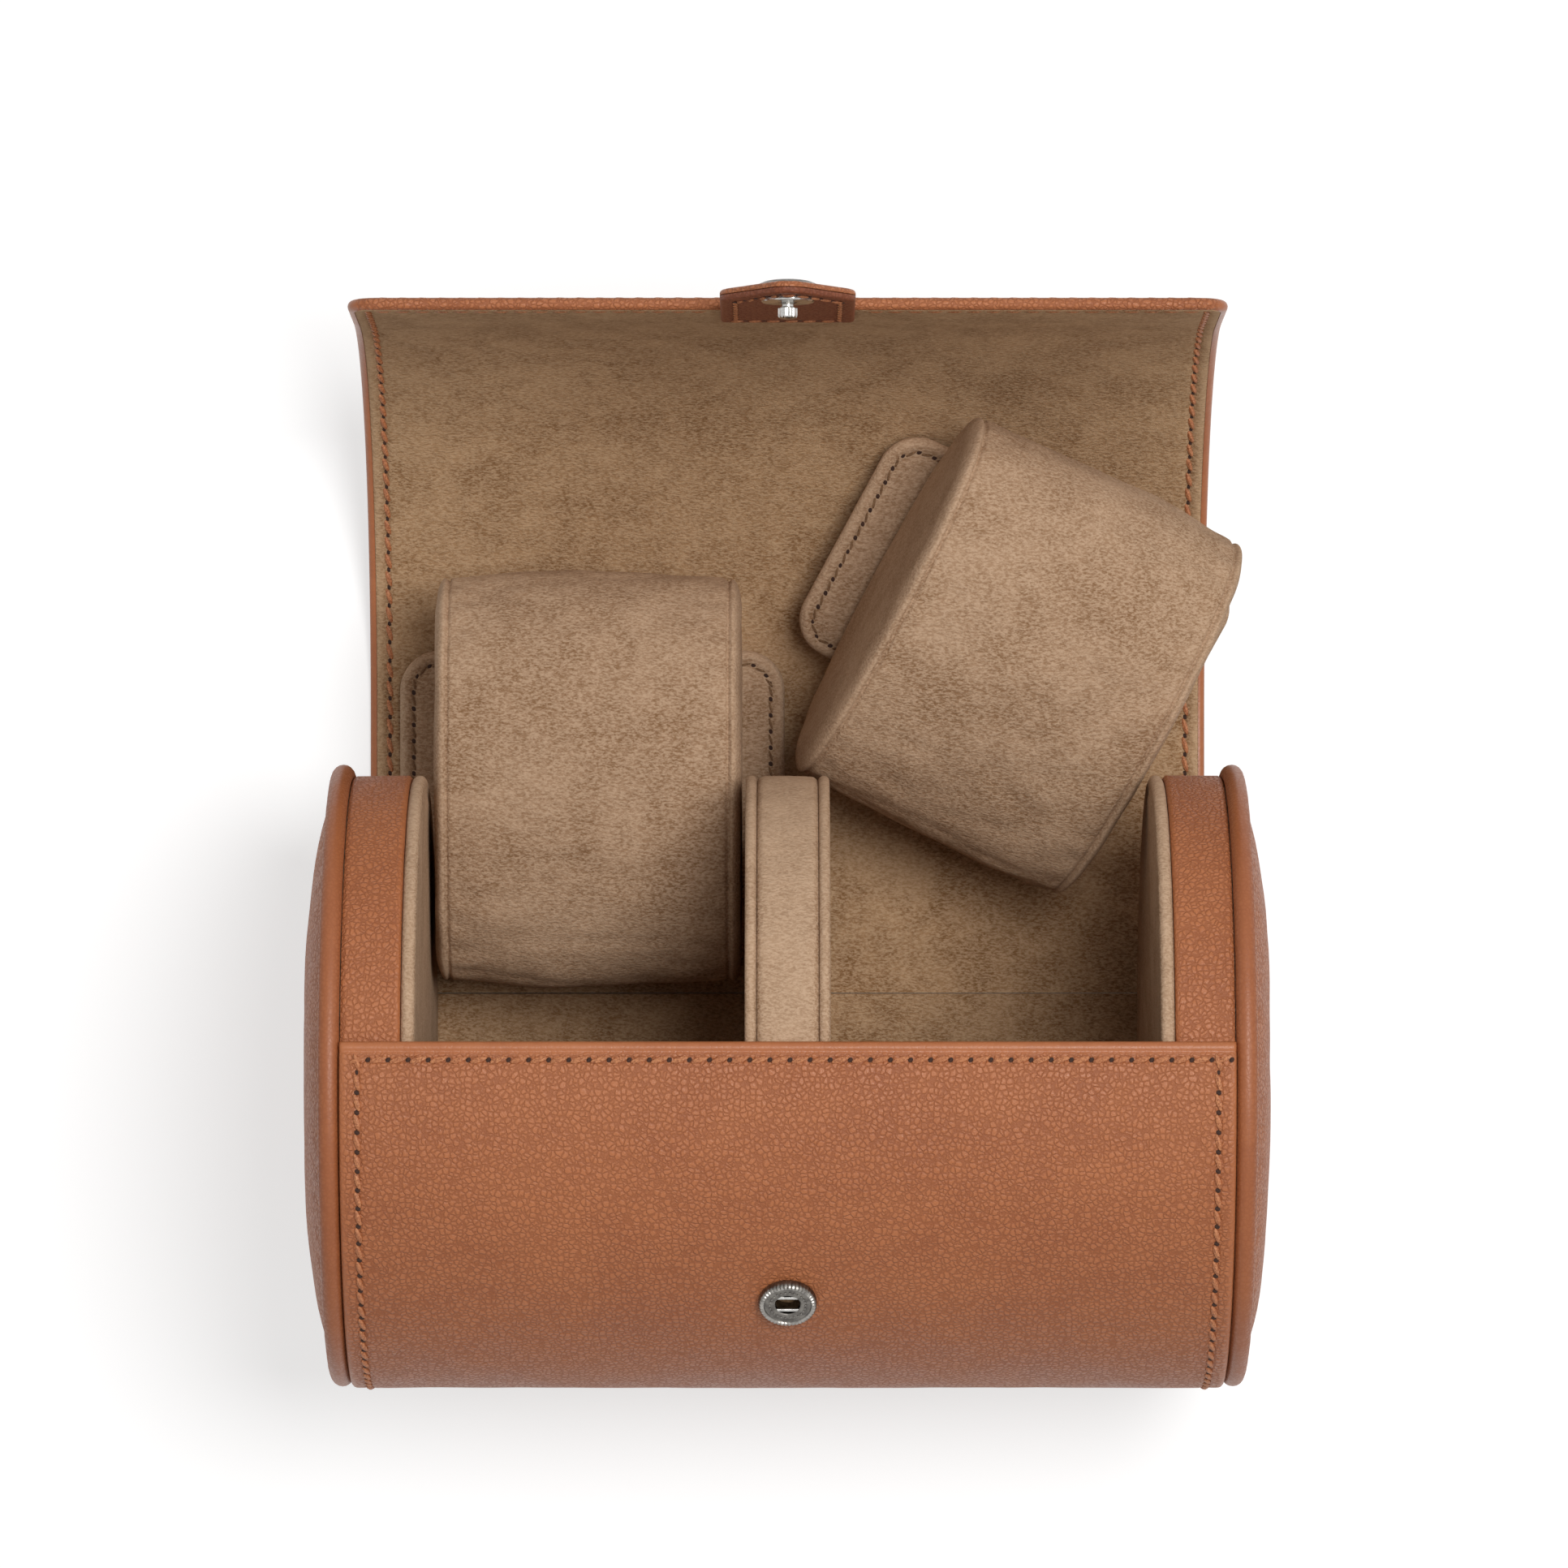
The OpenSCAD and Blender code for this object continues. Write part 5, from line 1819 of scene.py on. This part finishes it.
@dataclass
class ClothPuff:
    """Fills a pad with pressure and reads how its skin moves."""

    voxel: float = 0.0032
    pressure: float = 4.0
    last_frame: int = 20
    shrink: float = 0.97
    cap: float = 1.5

    def moves(self, shape: PadShape) -> list[Vector]:
        """Runs the cloth once on a copy of the pad.

        Args:
            shape: The pad.

        Returns:
            The move of each of the pad mesh's corners, in millimetres.
        """
        bm = shape.mesh()
        targets = [v.co.copy() for v in bm.verts]
        middle = Vector((0, 0, shape.centre_z))
        bmesh.ops.translate(bm, vec=-middle, verts=bm.verts)
        bmesh.ops.scale(bm, vec=(MM * self.shrink,) * 3, verts=bm.verts)
        mesh = bpy.data.meshes.new("pad_form")
        bm.to_mesh(mesh)
        bm.free()
        form = bpy.data.objects.new("pad_form", mesh)
        bpy.context.scene.collection.objects.link(form)
        remesh = form.modifiers.new("Remesh", "REMESH")
        remesh.mode, remesh.voxel_size = "VOXEL", self.voxel
        graph = bpy.context.evaluated_depsgraph_get()
        form.data = bpy.data.meshes.new_from_object(form.evaluated_get(graph))
        form.modifiers.clear()
        before = [v.co.copy() for v in form.data.vertices]
        after = self._run(form)
        faces = [tuple(p.vertices) for p in form.data.polygons]
        tree = BVHTree.FromPolygons(before, faces)
        spots = [(target - middle) * MM * self.shrink for target in targets]
        found = [self._move_at(tree, faces, before, after, spot) for spot in spots]
        bpy.data.objects.remove(form)
        mean = sum((m.dot((t - middle).normalized()) for m, t in zip(found, targets)), 0.0) / len(found)
        LOG.info("cloth moved the pad's skin outwards by %.2f mm on average", mean)
        return [m - (t - middle).normalized() * mean for m, t in zip(found, targets)]

    def _run(self, form: bpy.types.Object) -> list[Vector]:
        """Steps the cloth to its last frame and returns the corners' places."""
        scene = bpy.context.scene
        cloth = form.modifiers.new("Cloth", "CLOTH")
        cloth.settings.quality = 6
        cloth.settings.mass = 0.25
        cloth.settings.tension_stiffness = cloth.settings.compression_stiffness = 18
        cloth.settings.shear_stiffness = 8
        cloth.settings.bending_stiffness = 0.4
        cloth.settings.use_pressure = True
        cloth.settings.uniform_pressure_force = self.pressure
        cloth.settings.effector_weights.gravity = 0
        cloth.point_cache.frame_start, cloth.point_cache.frame_end = 1, self.last_frame
        for number in range(1, self.last_frame + 1):
            scene.frame_set(number)
        graph = bpy.context.evaluated_depsgraph_get()
        settled = form.evaluated_get(graph).data
        places = [v.co.copy() for v in settled.vertices]
        scene.frame_set(1)
        form.modifiers.clear()
        return places

    def _move_at(self, tree: BVHTree, faces: list[tuple[int, ...]], before: list[Vector],
                 after: list[Vector], point: Vector) -> Vector:
        """The capped move of the nearest face at a point, in millimetres."""
        spot, _, index, _ = tree.find_nearest(point)
        weights = [1 / ((before[i] - spot).length + 1e-5) for i in faces[index]]
        total = sum(weights)
        move = sum(((after[i] - before[i]) * (k / total) for i, k in zip(faces[index], weights)), Vector())
        move /= MM
        return move * min(1.0, self.cap / max(move.length, 1e-6))


@dataclass
class Cushion:
    """A removable watch cushion: its pad on a flat stitched base."""

    shelf: Shelf
    side: Side
    seat: Matrix
    shape: PadShape
    moves: Optional[list[Vector]]
    fold_axis: Vector
    fold_joint: str
    base_half: tuple[float, float] = (33.25, 21.5)
    base_t: float = 3.0
    base_r: float = 7.0
    keep: float = 0.8
    side_limit: float = 26.0
    seam_depth: float = 0.6
    cloth_share: float = 0.8
    seam_inset: float = 2.4
    stitching: Stitching = field(
        default_factory=lambda: Stitching(pitch=2.8, length=2.0, width=0.5, height=0.4))

    @property
    def body(self) -> str:
        """Name of the body that the cushion moves with."""
        return f"cushion_{self.side.word}"

    def soften(self, bm: bmesh.types.BMesh) -> None:
        """Gives the pad's skin its cloth moves, seams, gathers and creases.

        Args:
            bm: The pad's mesh at its own place.
        """
        seed, seam_x = 30.0 * self.side.value, self.shape.half_x * self.shape.seam_share
        bm.normal_update()
        bm.verts.ensure_lookup_table()
        normals = [v.normal.copy() for v in bm.verts]
        for index, vert in enumerate(bm.verts):
            co, normal = vert.co.copy(), normals[index]
            turn = math.atan2(co.z - self.shape.centre_z, co.y)
            off = abs(co.x) - seam_x
            arc = turn * 27 + 1.5 * wander(turn * 8, seed, co.x * 0.02, 1.0)
            push = -self.seam_depth * bell(off, 0.34)
            push += 0.22 * math.sin(arc * 1.25) * bell(off + 1.9, 1.9) * (1 if off < 0 else 0.25)
            push += 0.3 * bell(off - 1.0, 0.8)
            push += 0.75 * wander(co.x, co.y, co.z + seed, 17) * ease(-off, 0.5, 6.0)
            push += 0.22 * wander(co.x, co.y, co.z + seed, 6)
            crease = wander(co.x * 0.35, co.y * 1.3, co.z * 1.3 + seed, 9)
            push -= 0.35 * bell(crease, 0.09) * ease(-off, 1.0, 5.0)
            push -= 0.35
            if self.moves is not None:
                vert.co += self.moves[index] * self.cloth_share
            vert.co += normal * push
            vert.co.x = max(-self.side_limit, min(self.side_limit, vert.co.x))
            vert.co.z = max(vert.co.z, self.base_t + 0.12)

    def build_pad(self) -> bpy.types.Object:
        """The padded part, with a seam and a side panel at each end."""
        bm = self.shape.mesh()
        self.soften(bm)
        seam_x = self.shape.half_x * self.shape.seam_share
        bmesh.ops.transform(bm, matrix=self.seat, verts=bm.verts)
        back = self.seat.inverted()
        word = self.side.word
        piece = finish_piece(bm, f"cushion_pad_{word}", [self.shelf[Look.SUEDE]],
                             lambda p: 0.55 * bell(abs((back @ p).x) - seam_x - 1.0, 0.9), sharp=89,
                             nodes=[f"cushion_{word}_{part}" for part in ("cover", "side_a", "side_b")],
                             slot="suede", fill=0.8, body=self.body)
        soft = piece.modifiers.new("Subdivision", "SUBSURF")
        soft.levels = soft.render_levels = 1
        return piece

    def base_width(self, x: float) -> float:
        """Half of the base's depth at a place across it, with round corners."""
        return corner_width(self.base_half[1], abs(x) - (self.base_half[0] - self.base_r), self.base_r)

    def base_inset(self, x: float, y: float) -> float:
        """Distance in from the base's outline."""
        return corner_inset(self.base_half[0] - abs(x), self.base_half[1] - abs(y), self.base_r)

    def build_base(self) -> bpy.types.Object:
        """The flat base whose wings stand out beside the pad."""
        def over(u: float, x: float) -> float:
            """Upper face, quilted down along its seam."""
            inset = self.base_inset(x, u * self.base_width(x))
            soft = 0.1 * wander(x, u * 20, self.side.value * 8, 8)
            seam = 0.35 * bell(inset - self.seam_inset, 0.5)
            return self.base_t - 0.12 - round_over(inset, 1.4) + soft * ease(inset, 0.5, 3.0) - seam

        def under(u: float, x: float) -> float:
            """Lower face."""
            return round_over(self.base_inset(x, u * self.base_width(x)), 1.4)
        rim = (0, 0.06, 0.22, 0.5, 0.9, 1.4)
        rows = mirrored(self.base_half[0], rim + (1.8, 2.1, 2.4, 2.7, 3.1, 3.8, 4.6, 5.6), COLUMN_STEP)
        across = mirrored(self.base_half[1], rim + (1.9, 2.2, 2.5, 2.8, 3.3), COLUMN_STEP)
        bm = bmesh.new()
        curved_slab(bm, [y / self.base_half[1] for y in across], rows, over, under,
                    lambda u, x, h: self.seat @ Vector((x, u * self.base_width(x), h)))
        back = self.seat.inverted()

        def worn(point: Vector) -> float:
            """How rubbed the base is: its rim."""
            spot = back @ point
            return 0.6 * (1 - ease(self.base_inset(spot.x, spot.y), 0.4, 1.6))
        return self.fold(finish_piece(
            bm, f"cushion_base_suede_{self.side.word}", [self.shelf[Look.SUEDE]], worn, sharp=60,
            nodes=[f"cushion_{self.side.word}_base"], slot="suede", fill=0.3, body=self.body))

    def build_seam(self) -> bpy.types.Object:
        """The stitches round the base."""
        inset, r = self.seam_inset, self.base_r - self.seam_inset
        hx, hy = self.base_half[0] - inset - r, self.base_half[1] - inset - r
        line = []
        for quarter, (cx, cy) in enumerate([(hx, hy), (-hx, hy), (-hx, -hy), (hx, -hy)]):
            for a in steps(quarter * math.pi / 2, (quarter + 1) * math.pi / 2, 0.3):
                line.append(Vector((cx + r * math.cos(a), cy + r * math.sin(a), self.base_t - 0.42)))
        line.append(line[0].copy())
        out = (self.seat.to_3x3() @ Z_AXIS).normalized()
        spots = self.stitching.spots([(self.seat @ p, out) for p in line])
        return self.fold(self.stitching.piece(f"cushion_stitches_{self.side.word}", spots, self.shelf,
                                              Look.NAP_THREAD, self.body))

    def fold(self, piece: bpy.types.Object) -> bpy.types.Object:
        """Lets a part of the base draw in between the compartment's walls as the flap closes."""
        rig.squash(piece, self.fold_joint, axis=tuple(self.fold_axis),
                  anchor=tuple(self.seat.to_translation() * MM), keep=self.keep)
        return piece

    def build(self) -> list[bpy.types.Object]:
        """Builds the cushion."""
        return [self.build_pad(), self.build_base(), self.build_seam()]


# Studio


@dataclass
class Studio:
    """Camera, floor and lamps."""

    eye: tuple[float, float, float] = (-0.0006, 0.0488, 1.5144)
    lens: float = 200.3
    key_place: tuple[float, float, float] = (0.34, 0.22, 1.25)
    key_aim: tuple[float, float, float] = (0, 0.04, 0.03)
    key_size: float = 0.55
    key_power: float = 11.0
    room: float = 0.42
    floor_glow: float = 0.6
    floor_grey: float = 0.5

    def put(self, name: str, data: bpy.types.ID) -> bpy.types.Object:
        """Puts an object with the given data into the scene."""
        thing = bpy.data.objects.new(name, data)
        bpy.context.scene.collection.objects.link(thing)
        return thing

    def seen(self, w: Wiring) -> bpy.types.NodeSocket:
        """A mask of the rays that show a surface as it looks, not as it lights others."""
        rays = w.add("ShaderNodeLightPath").outputs
        straight = w.math("MAXIMUM", rays["Is Camera Ray"], rays["Is Glossy Ray"])
        return w.math("MAXIMUM", straight, rays["Is Transmission Ray"])

    def build_camera(self) -> None:
        """Puts the camera over the roll, looking straight down."""
        data = bpy.data.cameras.new("camera")
        data.lens, data.sensor_width, data.clip_end = self.lens, 36.0, 20.0
        camera = self.put("camera", data)
        camera.location = self.eye
        bpy.context.scene.camera = camera

    def build_lamp(self) -> None:
        """Adds the soft key light."""
        data = bpy.data.lights.new("key", "AREA")
        data.shape, data.size, data.energy = "DISK", self.key_size, self.key_power
        lamp = self.put("key", data)
        lamp.location = self.key_place
        aim = Vector(self.key_aim) - Vector(self.key_place)
        lamp.rotation_euler = aim.to_track_quat("-Z", "Y").to_euler()

    def build_floor(self) -> None:
        """Lays the pale floor that keeps the roll's shadow."""
        bm = bmesh.new()
        bmesh.ops.create_grid(bm, x_segments=4, y_segments=4, size=3.0,
                              matrix=Matrix.Translation((0, 0, -0.0002)))
        mesh = bpy.data.meshes.new("floor")
        bm.to_mesh(mesh)
        bm.free()
        material = bpy.data.materials.new("pale_floor")
        material.use_nodes = True
        material.node_tree.nodes.clear()
        w = Wiring(material.node_tree)
        matte = w.add("ShaderNodeBsdfDiffuse", {"Color": (self.floor_grey,) * 3 + (1,)})
        glow = w.add("ShaderNodeEmission", {"Strength": w.math("MULTIPLY", self.seen(w), self.floor_glow)})
        both = w.add("ShaderNodeAddShader", {0: matte.outputs[0], 1: glow.outputs[0]})
        w.add("ShaderNodeOutputMaterial", {0: both.outputs[0]})
        mesh.materials.append(material)
        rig.stage(self.put("floor", mesh))

    def build_room(self) -> None:
        """Fills the room with even light and shows it white."""
        world = bpy.data.worlds.new("room")
        world.use_nodes = True
        world.node_tree.nodes.clear()
        w = Wiring(world.node_tree)
        soft = w.add("ShaderNodeBackground", {"Color": (1.0, 0.985, 0.97, 1), "Strength": self.room})
        white = w.add("ShaderNodeBackground", {"Color": (1, 1, 1, 1), "Strength": 1.0})
        both = w.add("ShaderNodeMixShader", {0: self.seen(w), 1: soft.outputs[0], 2: white.outputs[0]})
        w.add("ShaderNodeOutputWorld", {0: both.outputs[0]})
        bpy.context.scene.world = world

    def build(self) -> None:
        """Sets up the whole studio."""
        self.build_camera()
        self.build_lamp()
        self.build_floor()
        self.build_room()
        bpy.context.scene.view_settings.view_transform = "Standard"


def dress_solids(shelf: Shelf) -> None:
    """Gives the solids that stay their own finishes.

    Args:
        shelf: The finishes.
    """
    looks = {"wrap_board": Look.BOARD, "socket_washer": Look.NICKEL, "snap_spring": Look.STEEL}
    for name, solid in frame["nodes"].items():
        if name.endswith("_core") or "_core_" in name:
            look = Look.FOAM
        elif "lining" in name or "divider" in name or "facing" in name or "cushion" in name:
            look = Look.SUEDE
        elif name.startswith(("snap", "stud", "socket")):
            look = looks.get(name, Look.NICKEL)
        else:
            look = looks.get(name, Look.GRAINED)
        if not solid.data.materials:
            solid.data.materials.append(shelf[look])
        for slot in solid.material_slots:
            slot.material = shelf[look]


def seat(place: tuple[float, float, float], pitch: float, yaw: float = 0.0) -> Matrix:
    """Where a cushion's base lies, in millimetres and degrees."""
    return (Matrix.Translation(place) @ Matrix.Rotation(math.radians(pitch), 4, "X")
            @ Matrix.Rotation(math.radians(yaw), 4, "Z"))


def build_cushions(shelf: Shelf) -> list[bpy.types.Object]:
    """Builds both cushions from one cloth run.

    Args:
        shelf: The finishes.

    Returns:
        Their pieces.
    """
    shape = PadShape()
    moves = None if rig.quick() else ClothPuff().moves(shape)
    left, right = seat((-33.75, 50.5, 3.126), 2.2), seat((39, 78.5, 13.2), 20, -27)
    made = Cushion(shelf, Side.LEFT, left, shape, moves, X_AXIS, "left_cushion_slide").build()
    across = (right.to_3x3() @ X_AXIS).normalized()
    return made + Cushion(shelf, Side.RIGHT, right, shape, moves, across, "right_cushion_turn").build()


def main() -> None:
    """Builds the roll and its studio, and writes how large both models are."""
    logging.basicConfig(level=logging.INFO, format="%(message)s")
    solid_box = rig.bounds()
    shelf, roll = Shelf(), Roll()
    dress_solids(shelf)
    made = Wrap(roll, shelf).build()
    for side in Side:
        made += RoundEnd(roll, shelf, side).build()
    made += Divider(roll, shelf).build()
    made.append(SnapSocket(roll, shelf).build())
    made += Flap(shelf).build() + SnapTab(shelf).build() + build_cushions(shelf)
    Studio().build()
    LOG.info("%d pieces", len(made))
    with open("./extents.json", "w") as file:
        json.dump({"solids": [[float(c) for c in corner] for corner in solid_box],
                   "dressed": [[float(c) for c in corner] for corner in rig.bounds()]}, file)


if __name__ == "__main__":
    main()
